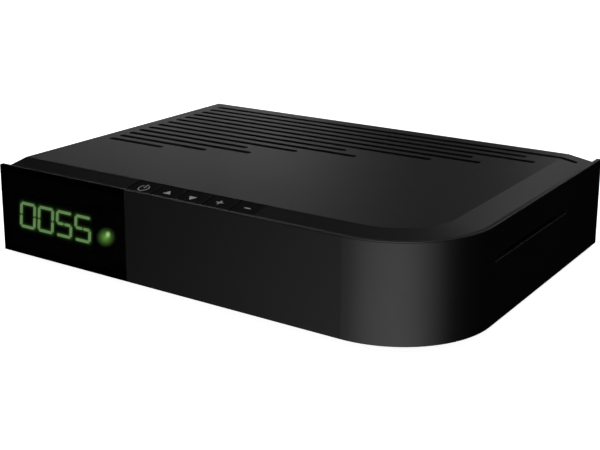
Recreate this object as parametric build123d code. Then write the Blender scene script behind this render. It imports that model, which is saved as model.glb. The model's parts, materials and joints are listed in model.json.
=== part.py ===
from build123d import *

import os

# Compact satellite TV receiver. Millimetres, +Z up, front towards -Y.
#
# Everything is modelled in a bench frame: X = 0 at the middle of the width, Y = 0 at the front band's
# outer face, Z = 0 at the underside of the case. save() moves each piece to the object's own frame,
# whose origin is the middle of the bounding box at the surface that the feet stand on.
#
# How it is carried: the bottom case holds the main board on bosses. The front band clips over the
# bottom case's lip and carries the front board. The top cover hangs the key board from three bosses,
# and four long screws close the cover on the bottom case. Each key slides in the key guide and rests
# on the plunger of its own switch.

hidden_sides = 8  # flats of round pieces and holes that stay hidden, which keeps the model light
small_sides = 12  # flats of small round pieces
socket_sides = 24  # flats of the round pieces inside the sockets
overcut = 1.0  # how far a cutting solid reaches past the face it opens
pilot_floor = 1.0  # what is left beyond the end of a blind hole
pick_margin = 1.0  # tolerance when edges are picked by their place

# ---------------------------------------------------------------- case
case_width = 220.0
case_depth = 160.0
foot_height = 2.5
band_height = 40.0
band_wall = 2.0
corner_radius = 41.0  # outer radius of the band's front right-hand corner
rim_round = 0.5  # rounding along the band's outer top edge
cover_top = 40.2
cover_wall = 2.0
cover_gap = 0.2  # between the band and what it wraps
left_step = 0.6  # the case's left wall stands this far inside the band's end
slope_run = 13.2
slope_drop = 2.3
skirt_depth = 4.0  # how far the cover's hidden front and right edge reaches down
parting_height = 14.0  # where cover and bottom case meet on the left side
tongue_height = 1.2
tray_floor = 2.0
tray_lip = 3.5
joint_gap = 0.1  # clearance of tongues, seams and other close joints

band_left = -case_width / 2
band_right = case_width / 2
left_face = band_left + left_step
left_inner = left_face + cover_wall
right_inner = band_right - band_wall
cover_edge = band_wall + cover_gap  # outer edge of the cover, from the band's outer face
cover_under = cover_top - cover_wall

# ---------------------------------------------------------------- vents
vent_width = 3.4
vent_pitch = 7.25
vent_from_back = 8.7  # rearmost vent's middle, from the back edge
vent_sides = 14  # flats of the full round that a vent's two ends make up
vent_left = 7.0  # left ends, from the band's left end
# right ends, from the band's right end, the rearmost vent first
vent_right = (8, 29.5, 22.5, 49.5, 42.5, 63.5, 104, 94.5, 122, 145.5, 138.5, 159, 179.5)
side_vent_count = 8
side_vent_pitch = 6.0
side_vent_width = 2.4
side_vent_height = 13.0
side_vent_base = 20.0
floor_vent_count = 8
floor_vent_pitch = 6.5
floor_vent_length = 44.0
floor_vent_width = 2.6
floor_vent_offset = 30.0  # middle of each column of floor vents, from the centre line

# ---------------------------------------------------------------- feet and case screws
foot_size = (18.0, 9.0)
foot_corner = 2.0
foot_recess = 0.8
foot_from_side = 18.0
foot_from_front = 20.0
foot_from_back = 16.0
foot_shift = 10.0  # how much further in the foot at the rounded corner stands
closing_from_left = 6.0
closing_from_right = 14.0
closing_from_front = 36.0
closing_from_back = (44.0, 28.0)  # on the left, and on the right
closing_boss = 4.0
closing_split = 12.0  # height where the two halves of each closing boss meet
closing_seat = 6.0  # height of the screw head's seat inside the boss
closing_top = 33.0  # top of the boss halves in the left wall, which stay clear of the vents
screw_length = 14.0
screw_head = 2.8
screw_head_depth = 2.0
screw_shank = 1.45
screw_gap = 0.05  # between a screw and the pilot it bites in, and between parts pressed together
clear_gap = 0.25  # between a screw and the hole it passes through

# ---------------------------------------------------------------- front band
window_width = 74.0
window_wall = 1.0
seam = 0.15  # groove where the window panel ends
ledge_top = 33.8  # ledge inside the band, under the cover's edge
ledge_thickness = 1.5
ledge_end = 4.8  # the ledge stops this far before the band's two ends
hook_width = 12.0
hook_wall = 1.6
hook_from_left = 40.0  # first hook, from the band's left end
hook_from_back = 30.0  # last hook, from the band's rear end
hook_from_corner = 19.0  # the two hooks next to the rounded corner, from where it starts
card_slot_offset = 1.0  # slot's middle, behind the middle of the depth
card_slot_height = 26.3
card_mouth_length = 74.8
card_mouth_height = 1.8
card_mouth_depth = 0.8
card_mouth_chamfer = 0.35
card_width = 54.0
card_gap = 0.8
card_slot_gap = 1.5

# ---------------------------------------------------------------- keys
key_names = ("standby", "up", "down", "plus", "minus")
key_left = 70.0  # left side of the first key, from the band's left end
key_pitch = 13.3
key_gap = 0.3
key_side_gap = 0.8  # between two neighbouring keys
key_skirt = 3.3  # thickness of a key cap at its front
key_travel = 0.3
key_chamfer = 0.3
stem_size = 4.0
stem_gap = 0.25
snap_reach = 0.35  # how far a key's snap collar hooks behind the guide
snap_height = 1.6
guide_thickness = 1.5
guide_top = 30.5
guide_border = 1.0  # how far guide and board reach behind the posts
spacer_height = 7.0
key_post_offset = 5.6  # posts of the key board, behind the keys
key_post = 3.0
board_thickness = 1.6
switch_size = 6.0
switch_height = 3.5
plunger_radius = 1.7
plunger_height = 0.9
plunger_sunk = 1.1
plunger_gap = 0.1

# ---------------------------------------------------------------- front board
front_board_gap = 10.2  # board's front face, from the band's outer face
front_board_left = 3.2  # this and the places across that follow, from the band's left end
front_board_right = 68.0
front_board_low = 4.0
front_board_high = 33.4
front_post = 2.3
front_post_columns = (6.6, 65.0)
front_post_rows = (6.0, 31.0)
display_width = 48.0
display_height = 19.0
display_across = 30.8
display_up = 18.1
display_gap = 0.4  # between the digits' face and the window, and round the display in its opening
light_across = 62.0
light_up = 17.2
light_radius = 2.5
light_tip = 1.2  # how much the light's front end is drawn in
light_flange = 0.4
light_flange_height = 2.0
eye_across = 59.0
eye_up = 27.0
eye_size = (6.0, 6.8, 4.6)
eye_lens = (2.2, 4.6)  # radius and height of the half-round lens
small_shank = 1.1
small_head = 2.2
small_head_height = 1.5
small_screw_length = 7.5

# ---------------------------------------------------------------- main board
board_seat = 5.0  # bosses above the floor
main_from_left = 4.0
main_from_right = 7.0
main_from_front = 26.0
main_gap = 0.6  # between the board and the rear panel
# the board's screws: from the band's left or right end, and from the front or back of the case
main_screw_from_left = 22.0
main_screw_from_right = (66.0, 34.0)
main_screw_from_front = 34.0
main_screw_from_back = (48.0, 40.0)
main_boss = 3.0
main_shank = 1.2
main_head = 2.6
main_head_height = 1.8
main_screw_length = 6.0
processor_size = (27, 27, 2.4)
processor_offset = (10.0, 4.0)  # to the right of and behind the middle of the case
sink_size = 40.0
sink_base = 3.0
sink_height = 12.0
sink_fins = 9
fin_thickness = 1.3
memory_size = (10.5, 12.5, 1.2)
memory_offset = (-30.0, 10.0)  # the two chips' middles, from the processor's
right_capacitors = (  # from the band's right end, from the back, radius, height
    (74, 29, 4, 12),
    (62, 29, 4, 12),
    (50, 29, 5, 16),
    (38, 28, 5, 16),
)
left_capacitors = (  # from the band's left end, from the back, radius, height
    (66, 41, 3.2, 9),
    (76, 41, 3.2, 9),
)
coil_from_right = (26.0, 29.0)  # from the band's end, and from the back
coil_from_left = (100.0, 41.0)
coil_size = 12.0
coil_corner = 2.0
coil_height = 6.5

# ---------------------------------------------------------------- rear panel and sockets
panel_recess = 1.5
panel_thickness = 1.5
panel_lip_height = 2.5  # how far lips and ribs stand above the floor, and below the cover
rib_thickness = 1.6
port_gap = 0.4  # between a socket and its opening in the rear panel
tuner_size = (46, 34, 15)
tuner_wall = 0.6
aerial_pitch = 20.0
aerial_height = 7.6  # threaded connectors' middle above the board
aerial_reach = 11.8  # how far they stand out behind the case
aerial_thread = 4.7625
aerial_neck = 4.4
aerial_bore = 3.6
aerial_pin_hole = 0.6
aerial_pin_depth = 6.0
aerial_sunk = 0.8  # from the end of the thread to the insulator's face
neck_length = 4.6
nut_flats = 12.7
nut_thickness = 2.2
phono_pitch = 14.0
phono_low = 6.2  # lower row, above the board
phono_rise = 13.0
phono_block_size = (28.0, 20.0, 25.4)
phono_collar = 5.0
phono_collar_length = 2.7
phono_ring = 4.15
phono_ring_wall = 0.5
phono_ring_length = 8.5
phono_hole = 1.6
phono_hole_floor = 1.0
phono_names = ("digital_audio", "video", "left_audio", "right_audio")
hdmi_size = (15.0, 6.0, 12.9)
hdmi_corner = 1.4
hdmi_tongue = (11.4, 2.0)
hdmi_tongue_lift = 0.3  # tongue's middle, above the socket's
usb_size = (13.2, 5.8, 15.2)
usb_tongue = (11.0, 1.8)
usb_tongue_lift = 0.9
tongue_sunk = 1.0  # from the socket's mouth to the tongue's end
shell_wall = 0.4
shell_back = 2.0
scart_body = (50.0, 15.8, 22.0)
scart_mouth = (47.6, 14.4)
scart_wall = 1.2
scart_depth = 12.0
scart_reach = 1.1  # how far the mouth stands out of the panel
scart_corner = 4.5
scart_insert = (41.6, 7.2)
scart_contacts = 10
scart_contact_pitch = 3.81
scart_contact_size = (1.0, 2.4)
scart_contact_depth = 6.0
scart_insert_sunk = 1.0
scart_ear = 4.7
scart_ear_height = 10.0
dc_size = (9.0, 14.2, 11.0)
dc_bore = 3.2
dc_depth = 9.6
dc_pin = 1.05
dc_pin_length = 9.0
dc_height = 6.5
rocker_body = (13.2, 20.0)
rocker_flange = (15.4, 23.0)
rocker_pocket = (10.8, 17.8)
rocker_width = 10.0
rocker_tilt = 10.0
rocker_pivot_depth = 8.0  # pivot, from the back of the case
rocker_body_depth = 20.0
rocker_pin = 1.0
rocker_pin_gap = 0.06
rocker_pin_length = 0.8
rocker_front = ((7.6, 7.3), (5.6, 0.0), (7.6, -7.3))  # outward and upward from the pivot
rocker_rear = ((2.0, -7.6), (-3.0, -1.5), (-3.0, 1.5), (2.0, 7.6))
rocker_swing = 1.0  # room behind the rocker
port_screw_length = 9.0

# ---------------------------------------------------------------- card reader
reader_length = 56.0
reader_rail = 3.2
reader_base = 1.3
reader_roof = 2.0
reader_window = 9.6  # border round the window in the reader's roof
contact_count = 4
contact_pitch = 2.54
contact_size = (8.0, 1.2, 0.4)
contact_rows = 12.0  # between the two rows
spacer_radius = 2.5
spacer_inset = 5.0

# ---------------------------------------------------------------- ribbons
ribbon_thickness = 0.8
ribbon_width = 10.0
ribbon_bend = 3.0
header_depth = 5.0
header_height = 5.0
header_border = 1.2
ribbon_rise = 2.5  # middle of the ribbon above the main board
header_inset = 5.0  # headers on the main board, from its front edge
front_header_across = 38.0  # this and the next one, from the band's left end
key_header_across = 90.0
front_header_up = 19.0
key_header_back = 14.5

# ---------------------------------------------------------------- heights, depths and places that follow
main_low = tray_floor + board_seat
main_top = main_low + board_thickness
slope_foot = cover_top - slope_drop
panel_outer = case_depth - panel_recess
panel_inner = panel_outer - panel_thickness
port_back = panel_inner - cover_gap  # face of the sockets that stand behind the panel
overall_depth = case_depth + aerial_reach
key_board_top = guide_top - guide_thickness - spacer_height
key_board_low = key_board_top - board_thickness
plunger_top = key_board_top + switch_height + plunger_height
key_front = cover_edge + key_gap
key_back = cover_edge + slope_run - key_gap
key_middle_y = (key_front + key_back) / 2
key_post_y = key_back + key_gap + key_post_offset
card_slot_middle = case_depth / 2 + card_slot_offset
closing_left = band_left + closing_from_left
closing_right = band_right - closing_from_right
closing_back = tuple(case_depth - y for y in closing_from_back)
closing_points = (
    (closing_left, closing_from_front),
    (closing_left, closing_back[0]),
    (closing_right, closing_from_front),
    (closing_right, closing_back[1]),
)
foot_points = (
    (band_left + foot_from_side, foot_from_front),
    (band_right - foot_from_side - foot_shift, foot_from_front),
    (band_left + foot_from_side, case_depth - foot_from_back),
    (band_right - foot_from_side, case_depth - foot_from_back),
)
front_posts = [(band_left + x, z) for x in front_post_columns for z in front_post_rows]
display_middle = (band_left + display_across, display_up)
light_point = (band_left + light_across, light_up)
eye_point = (band_left + eye_across, eye_up)
main_left = band_left + main_from_left
main_right = band_right - main_from_right
main_front = main_from_front
main_back = panel_inner - main_gap
main_screws = (
    (band_left + main_screw_from_left, main_screw_from_front),
    (band_left + main_screw_from_left, case_depth - main_screw_from_back[0]),
    (band_right - main_screw_from_right[0], main_screw_from_front),
    (band_right - main_screw_from_right[1], case_depth - main_screw_from_back[1]),
)
processor_point = (processor_offset[0], case_depth / 2 + processor_offset[1])
memory_points = [
    (processor_point[0] + memory_offset[0], processor_point[1] + side * memory_offset[1]) for side in (-1, 1)
]
capacitors = [(band_right - x, case_depth - y, *form) for x, y, *form in right_capacitors]
capacitors += [(band_left + x, case_depth - y, *form) for x, y, *form in left_capacitors]
coils = (
    (band_right - coil_from_right[0], case_depth - coil_from_right[1]),
    (band_left + coil_from_left[0], case_depth - coil_from_left[1]),
)
main_header_front = main_front + header_inset
front_header_middle = (band_left + front_header_across, front_header_up)
key_header_middle = (band_left + key_header_across, key_header_back)
panel_left = left_inner + joint_gap
panel_right = right_inner - cover_gap
port_widths = (
    tuner_size[0],
    phono_block_size[0],
    hdmi_size[0],
    usb_size[0],
    scart_body[0] + 2 * scart_ear,
    dc_size[0],
    rocker_flange[0],
)


def spread(widths, left, right):
    """Middles of pieces set side by side between two ends, with even gaps between and beside them."""
    gap = (right - left - sum(widths)) / (len(widths) + 1)
    middles = []
    for width in widths:
        left += gap + width
        middles.append(left - width / 2)
    return middles


port_middles = spread(port_widths, panel_left, panel_right)
tuner_middle, phono_middle, hdmi_middle, usb_middle, scart_middle, dc_middle, rocker_middle = port_middles


def save(name, *shapes):
    """Moves finished pieces to the object's own frame and writes them as one named node."""
    place = Pos(0, -overall_depth / 2, foot_height)
    solids = [place * solid for shape in shapes for solid in shape.solids()]
    whole = solids[0] if len(solids) == 1 else Compound(solids)
    export_step(whole, f"parts/{name}.step")


def block(x0, x1, y0, y1, z0, z1):
    """A box between two corners."""
    return Pos((x0 + x1) / 2, (y0 + y1) / 2, (z0 + z1) / 2) * Box(x1 - x0, y1 - y0, z1 - z0)


def post(radius, point, z0, z1, sides=hidden_sides):
    """An upright round piece or hole, drawn with flats."""
    return Pos(point[0], point[1], z0) * extrude(RegularPolygon(radius, sides), z1 - z0)


def upright_block(point, size, y0, y1):
    """A box from front to back, round a point given across and up."""
    (x, z), w, h = point, size[0] / 2, size[1] / 2
    return block(x - w, x + w, y0, y1, z - h, z + h)


def rod(radius, x, z, y0, y1, sides=None):
    """A round bar or hole that runs from front to back, truly round unless its flats are given."""
    section = RegularPolygon(radius, sides) if sides else Circle(radius)
    return Pos(x, y1, z) * Rot(90, 0, 0) * extrude(section, y1 - y0)


def plan(left, front, right, back, radius):
    """A rectangle in plan with its front right-hand corner rounded."""
    outline = Pos((left + right) / 2, (front + back) / 2) * Rectangle(right - left, back - front)
    corner = outline.vertices().sort_by(lambda v: v.X - v.Y)[-1]
    return fillet(corner, radius)


def case_plan(inset):
    """The outline inside the band, drawn in by an even distance on every side."""
    edge = cover_edge + inset
    return plan(left_face + inset, edge, band_right - edge, case_depth - inset, corner_radius - edge)


def band_strip(depth0, depth1, z0, z1, end_gap=0.0):
    """A strip that follows the band round the corner, between two distances inside its outer face."""
    back = case_depth - end_gap
    left = band_left + end_gap
    outer = plan(left, depth0, band_right - depth0, back, corner_radius - depth0)
    inner = plan(left - overcut, depth1, band_right - depth1, back + overcut, corner_radius - depth1)
    return Pos(0, 0, z0) * extrude(outer - inner, z1 - z0)


def upright_screw(point, head_z, length, shank, head, head_height, upward):
    """A screw on a vertical axis. Upward ones have their head below head_z, the others above it."""
    if upward:
        return post(head, point, head_z - head_height, head_z) + post(shank, point, head_z, head_z + length)
    return post(head, point, head_z, head_z + head_height) + post(shank, point, head_z - length, head_z)


def flat_screw(x, z, head_y, length, shank, head, head_height):
    """A screw driven forward from behind, its head on the plane y = head_y."""
    cap = rod(head, x, z, head_y, head_y + head_height, hidden_sides)
    return cap + rod(shank, x, z, head_y - length, head_y, hidden_sides)


# ---------------------------------------------------------------- front band and window
def band_hook(along, side):
    """A hook over the bottom case's lip, on the front of the band or on its right side."""
    reach = cover_edge + cover_wall
    low = tray_lip + cover_gap
    arm = (band_wall, reach + cover_gap + hook_wall, low, low + ledge_thickness)
    nose = (reach + cover_gap, reach + cover_gap + hook_wall, tray_floor + cover_gap, low)
    half = hook_width / 2
    hook = Part()
    for depth0, depth1, z0, z1 in (arm, nose):
        if side:
            hook += block(band_right - depth1, band_right - depth0, along - half, along + half, z0, z1)
        else:
            hook += block(along - half, along + half, depth0, depth1, z0, z1)
    return hook


def front_band_and_window():
    """The wrap-round front: one band bent round the corner, with the window panel let into its left end."""
    section_plane = Plane(origin=(band_left, 0, 0), x_dir=(0, 1, 0), z_dir=(1, 0, 0))
    flat_section = Pos(band_wall / 2, band_height / 2) * Rectangle(band_wall, band_height)
    rim_corner = flat_section.vertices().sort_by(lambda v: v.Y - v.X)[-1]
    section = section_plane * fillet(rim_corner, rim_round)
    corner = (band_right, 0, 0)
    ends = ((band_left, 0, 0), (band_right, case_depth, 0))
    path = FilletPolyline(ends[0], corner, ends[1], radius=corner_radius)
    strip = sweep(section, path=path)

    window_right = band_left + window_width
    far_left = band_left - overcut
    top = band_height + overcut
    window = strip & block(far_left, window_right, -overcut, window_wall, -overcut, top)
    band = strip - block(far_left, window_right + seam, -overcut, window_wall, -overcut, top)

    display_x, display_z = display_middle
    half_w = display_width / 2 + display_gap
    half_h = display_height / 2 + display_gap
    through = band_wall + overcut
    low, high = display_z - half_h, display_z + half_h
    band -= block(display_x - half_w, display_x + half_w, 0, through, low, high)
    band -= rod(light_radius + cover_gap, *light_point, 0, through, small_sides)
    band -= upright_block(eye_point, eye_size[:2], 0, through)

    ledge_reach = cover_edge + cover_wall
    band += band_strip(band_wall, ledge_reach, ledge_top - ledge_thickness, ledge_top, ledge_end)
    first = band_left + hook_from_left
    last = band_right - corner_radius - hook_from_corner
    for x in (first, (first + last) / 2, last):
        band += band_hook(x, False)
    for y in (corner_radius + hook_from_corner, case_depth - hook_from_back):
        band += band_hook(y, True)
    for x, z in front_posts:
        pilot = small_shank + screw_gap
        pilot_end = front_board_gap + overcut
        band += rod(front_post, x, z, band_wall, front_board_gap, hidden_sides)
        band -= rod(pilot, x, z, band_wall + pilot_floor, pilot_end, hidden_sides)

    mouth = band_right - card_mouth_depth
    band -= card_cut(mouth, band_right + overcut, card_mouth_length, card_mouth_height)
    outer_edges = band.edges().filter_by(lambda edge: abs(edge.center().X - band_right) < joint_gap)
    band = chamfer(outer_edges.filter_by(at_card_mouth), card_mouth_chamfer)
    band -= card_cut(right_inner - overcut, band_right, card_width + 2 * card_gap, card_slot_gap)
    return band, window


def at_card_mouth(edge):
    """Whether an edge of the band's right side runs round the card mouth."""
    across = abs(edge.center().Y - card_slot_middle) < card_mouth_length / 2 + pick_margin
    return across and abs(edge.center().Z - card_slot_height) < card_mouth_height


def card_cut(x0, x1, length, height):
    """A cut for the card in the band's right side, centred on the card slot."""
    y0, z0 = card_slot_middle - length / 2, card_slot_height - height / 2
    return block(x0, x1, y0, y0 + length, z0, z0 + height)


# ---------------------------------------------------------------- top cover
def sloped_block(inset, base):
    """The cover's form drawn in by one distance: flat on top, with a slope along front and right side."""
    solid = Pos(0, 0, base) * extrude(case_plan(inset), cover_top - inset - base)
    top = solid.faces().sort_by(Axis.Z)[-1]
    rear = case_depth - inset
    left = left_face + inset
    middles = [(edge, edge.center()) for edge in top.edges()]
    folds = [edge for edge, at in middles if at.X > left + pick_margin and at.Y < rear - pick_margin]
    return chamfer(folds, slope_run, slope_drop, reference=top)


def vent_slots():
    """Long round-ended vents, each as long as the stepped pattern gives it."""
    cuts = Part()
    end = vent_width / 2
    left = band_left + vent_left + end
    for row, from_right in enumerate(vent_right):
        right = band_right - from_right - end
        slot = Pos((left + right) / 2, 0) * Rectangle(right - left, vent_width)
        for x in (left, right):
            slot += Pos(x, 0) * RegularPolygon(end, vent_sides, major_radius=False)
        y = case_depth - vent_from_back - row * vent_pitch
        low = cover_under - slope_drop - overcut
        cuts += extrude(Pos(0, y, low) * slot, cover_wall + slope_drop + 2 * overcut)
    return cuts


def side_vents():
    """Short upright vents in the left wall, midway between its two closing bosses."""
    top = side_vent_base + side_vent_height
    half = side_vent_width / 2
    middle = (closing_from_front + closing_back[0]) / 2
    cuts = Part()
    for i in range(side_vent_count):
        y = middle + (i - (side_vent_count - 1) / 2) * side_vent_pitch
        left = left_face - overcut
        cuts += block(left, left_inner + overcut, y - half, y + half, side_vent_base, top)
    return cuts


def top_cover():
    """A moulded shell: plate, slopes and left wall, with vents, key opening, bosses and panel ribs."""
    skirt_low = slope_foot - skirt_depth
    under = parting_height - overcut
    back = case_depth + overcut
    lip_low = cover_under - panel_lip_height
    rib_back = panel_inner - cover_gap
    rib_front = rib_back - rib_thickness

    cover = sloped_block(0, parting_height) - sloped_block(cover_wall, under)
    cover -= block(left_inner, band_right, 0, rib_front, under, skirt_low)
    cover -= block(left_inner, band_right, rib_front, back, under, lip_low)
    panel_back = panel_outer + cover_gap
    cover -= block(left_inner, panel_right, panel_inner, panel_back, lip_low - overcut, cover_under)
    cover += block(left_inner, panel_right - cover_wall, rib_front, rib_back, lip_low, cover_under)

    for point in closing_points:
        top = closing_top if point[0] < left_inner + 2 * closing_boss else cover_under
        pilot_top = closing_seat + screw_length + pilot_floor
        cover += post(closing_boss, point, closing_split, top)
        cover -= post(screw_shank + screw_gap, point, closing_split - overcut, pilot_top)
    for x in key_post_points():
        point = (x, key_post_y)
        pilot_top = guide_top + small_screw_length - guide_thickness
        cover += post(key_post, point, guide_top, cover_under)
        cover -= post(small_shank + screw_gap, point, guide_top - overcut, pilot_top)
    cover -= vent_slots()
    cover -= side_vents()

    first = band_left + key_left
    last = first + key_pitch * len(key_names)
    cover -= block(first, last, 0, key_back + key_gap, skirt_low - overcut, cover_top + overcut)
    seat = closing_split - overcut
    cover -= block(left_face - overcut, left_inner, 0, back, seat, parting_height)
    tongue_x = left_inner - cover_wall / 2 - joint_gap
    groove_top = parting_height + tongue_height + joint_gap
    cover -= block(tongue_x, left_inner, 0, back, under, groove_top)
    outside = block(-case_width, left_face, -overcut, back, 0, cover_top)
    return cover - outside


# ---------------------------------------------------------------- bottom case
def bottom_case():
    """A tray with a low lip and a taller left wall, bosses, foot recesses and floor vents."""
    tray = extrude(case_plan(0), tray_floor)
    tray += extrude(case_plan(0) - case_plan(cover_wall), tray_lip)
    tray += block(left_face, left_inner, cover_edge, case_depth, 0, parting_height)
    tongue = left_inner - cover_wall / 2
    tray += block(tongue, left_inner, cover_edge, case_depth, 0, parting_height + tongue_height)

    high = tray_floor + panel_lip_height
    rib_back = panel_inner - cover_gap
    rib_front = rib_back - rib_thickness
    back = case_depth + overcut
    tray -= block(left_inner, case_width, rib_front, back, tray_floor, parting_height)
    tray += block(left_inner, panel_right, panel_outer + cover_gap, case_depth, tray_floor, high)
    rib_right = panel_right - cover_wall - cover_gap
    tray += block(left_inner, rib_right, rib_front, rib_back, tray_floor, high)

    for point in main_screws:
        tray += post(main_boss, point, 0, main_low)
        tray -= post(main_shank + screw_gap, point, tray_floor, main_low + overcut)
    for point in closing_points:
        tray += post(closing_boss, point, 0, closing_split)
        tray -= post(screw_shank + clear_gap, point, -overcut, closing_split + overcut)
        tray -= post(screw_head + clear_gap, point, -overcut, closing_seat)
    for point in foot_points:
        tray -= foot_pad(point, joint_gap, -overcut)
    vent = (floor_vent_length, floor_vent_width, tray_floor + 2 * overcut)
    for column in (-floor_vent_offset, floor_vent_offset):
        for i in range(floor_vent_count):
            y = processor_point[1] + (i - (floor_vent_count - 1) / 2) * floor_vent_pitch
            tray -= chip((column, y), vent, -overcut)
    outside = block(-case_width, left_face, -overcut, back, -overcut, cover_top)
    return tray - outside


def foot_pad(point, grow, low):
    """A foot's outline with its corners cut, up to the roof of its recess."""
    outline = Rectangle(foot_size[0] + 2 * grow, foot_size[1] + 2 * grow)
    outline = chamfer(outline.vertices(), foot_corner)
    return Pos(point[0], point[1], low) * extrude(outline, foot_recess - low)


def rubber_feet():
    """Four rubber feet, set in their recesses."""
    return [foot_pad(point, 0, -foot_height) for point in foot_points]


def case_screws():
    """The four long screws, driven up through the bottom case into the cover."""
    return [
        upright_screw(point, closing_seat, screw_length, screw_shank, screw_head, screw_head_depth, True)
        for point in closing_points
    ]


# ---------------------------------------------------------------- keys
def key_x(index):
    """Middle of a key across the width."""
    return band_left + key_left + key_pitch * (index + 0.5)


def key_post_points():
    """Three posts behind the first, middle and last key."""
    return [key_x(i) for i in (0, len(key_names) // 2, len(key_names) - 1)]


def slope_height(y):
    """Height of the slope's face at a distance from the front."""
    return slope_foot + (y - cover_edge) * slope_drop / slope_run


def key(index):
    """A cap that continues the slope, on a stem with a snap collar under the guide."""
    middle = key_x(index)
    width = key_pitch - key_side_gap
    low = slope_foot - key_skirt
    upper = [(y, slope_height(y)) for y in (key_back, key_front)]
    outline = Polyline((key_front, low), (key_back, low), *upper, close=True)
    profile = Plane(origin=(middle - width / 2, 0, 0), x_dir=(0, 1, 0), z_dir=(1, 0, 0)) * make_face(outline)
    cap = extrude(profile, width)
    top = cap.faces().sort_by(Axis.Z)[-1]
    cap = chamfer(top.edges(), key_chamfer)
    half = stem_size / 2
    front, back = key_middle_y - half, key_middle_y + half
    stem = block(middle - half, middle + half, front, back, plunger_top, low)
    snap_top = guide_top - guide_thickness - joint_gap
    wide = half + stem_gap + snap_reach
    collar = block(middle - wide, middle + wide, front, back, snap_top - snap_height, snap_top)
    return cap + stem + collar


def switch_body(index):
    """A push switch's square body, with the well that its plunger slides in."""
    x, y = key_x(index), key_middle_y
    half = switch_size / 2
    top = key_board_top + switch_height
    body = block(x - half, x + half, y - half, y + half, key_board_top, top)
    well_floor = top - plunger_sunk - key_travel - joint_gap
    return body - post(plunger_radius + plunger_gap, (x, y), well_floor, top + overcut)


def plunger(index):
    """The round plunger that the key's stem rests on."""
    foot = key_board_top + switch_height - plunger_sunk
    return post(plunger_radius, (key_x(index), key_middle_y), foot, plunger_top)


def key_plate(z0, z1):
    """The outline that key guide and key board share, between two heights, with its screw holes."""
    left = key_x(0) - key_pitch / 2
    right = left + key_pitch * len(key_names)
    front = cover_edge + cover_wall + clear_gap
    back = key_post_y + key_post + guide_border
    plate = block(left, right, front, back, z0, z1)
    for x in key_post_points():
        plate -= post(small_shank + clear_gap, (x, key_post_y), z0 - overcut, z1 + overcut)
    return plate


def key_guide():
    """A plate with a window for each stem, standing on three tubes over the key board."""
    low = guide_top - guide_thickness
    guide = key_plate(low, guide_top)
    half = stem_size / 2 + stem_gap
    front, back = key_middle_y - half, key_middle_y + half
    for i in range(len(key_names)):
        x = key_x(i)
        guide -= block(x - half, x + half, front, back, low - overcut, guide_top + overcut)
    for x in key_post_points():
        tube = post(key_post, (x, key_post_y), key_board_top, low)
        guide += tube - post(small_shank + clear_gap, (x, key_post_y), key_board_top - overcut, low)
    return guide


def key_board():
    """The circuit board under the keys."""
    return key_plate(key_board_low, key_board_top)


# ---------------------------------------------------------------- front board
def front_board():
    """The upright circuit board behind the window."""
    back = front_board_gap + board_thickness
    left, right = band_left + front_board_left, band_left + front_board_right
    board = block(left, right, front_board_gap, back, front_board_low, front_board_high)
    for x, z in front_posts:
        hole = small_shank + clear_gap
        board -= rod(hole, x, z, front_board_gap - overcut, back + overcut, hidden_sides)
    return board


def digit_display():
    """The display block, whose face stands close behind the window."""
    size = (display_width, display_height)
    return upright_block(display_middle, size, window_wall + display_gap, front_board_gap)


def status_light():
    """A light with a drawn-in tip and a flange, standing on the front board."""
    x, z = light_point
    barrel = rod(light_radius, x, z, window_wall + joint_gap, front_board_gap, small_sides)
    barrel = chamfer(barrel.faces().sort_by(Axis.Y)[0].edges(), light_tip)
    flange_front = front_board_gap - light_flange_height
    flange_radius = light_radius + light_flange
    return barrel + rod(flange_radius, x, z, flange_front, front_board_gap, small_sides)


def infrared_eye():
    """The remote control's receiver: a block with a half-round lens that faces the window."""
    x, z = eye_point
    front = front_board_gap - eye_size[2]
    radius, height = eye_lens
    body = upright_block(eye_point, eye_size[:2], front, front_board_gap)
    return body + Pos(x, front, z) * Cylinder(radius, height)


def small_screws():
    """The short screws of the front board and the long ones of the key board."""
    head_y = front_board_gap + board_thickness
    form = (small_shank, small_head, small_head_height)
    screws = [flat_screw(x, z, head_y, small_screw_length, *form) for x, z in front_posts]
    length = board_thickness + spacer_height + small_screw_length - pilot_floor
    for x in key_post_points():
        screws.append(upright_screw((x, key_post_y), key_board_low, length, *form, True))
    return screws


# ---------------------------------------------------------------- main board
def main_board():
    """The main circuit board, with holes for its screws and notches round the closing bosses."""
    board = block(main_left, main_right, main_front, main_back, main_low, main_top)
    for point in main_screws:
        board -= post(main_shank + clear_gap, point, main_low - overcut, main_top + overcut)
    reach = closing_boss + clear_gap
    for x, y in closing_points:
        end = main_right + overcut if x > 0 else main_left - overcut
        start = x - reach if x > 0 else x + reach
        board -= block(min(start, end), max(start, end), y - reach, y + reach, main_low, main_top)
    return board


def board_screws():
    """The main board's screws."""
    return [
        upright_screw(point, main_top, main_screw_length, main_shank, main_head, main_head_height, False)
        for point in main_screws
    ]


def chip(point, size, base):
    """A flat rectangular piece round a point, on a base."""
    x, y = point
    w, d, h = size
    return block(x - w / 2, x + w / 2, y - d / 2, y + d / 2, base, base + h)


def heat_sink():
    """A finned block that stands on the processor."""
    base = main_top + processor_size[2]
    x, y = processor_point
    half = sink_size / 2
    sink = block(x - half, x + half, y - half, y + half, base, base + sink_base)
    pitch = (sink_size - fin_thickness) / (sink_fins - 1)
    for i in range(sink_fins):
        left = x - half + i * pitch
        sink += block(left, left + fin_thickness, y - half, y + half, base + sink_base, base + sink_height)
    return sink


def capacitor(x, y, radius, height):
    """An upright can."""
    return post(radius, (x, y), main_top, main_top + height, small_sides)


def coil(x, y):
    """A square moulded coil."""
    half = coil_size / 2
    solid = block(x - half, x + half, y - half, y + half, main_top, main_top + coil_height)
    return chamfer(solid.edges().filter_by(Axis.Z), coil_corner)


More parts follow.
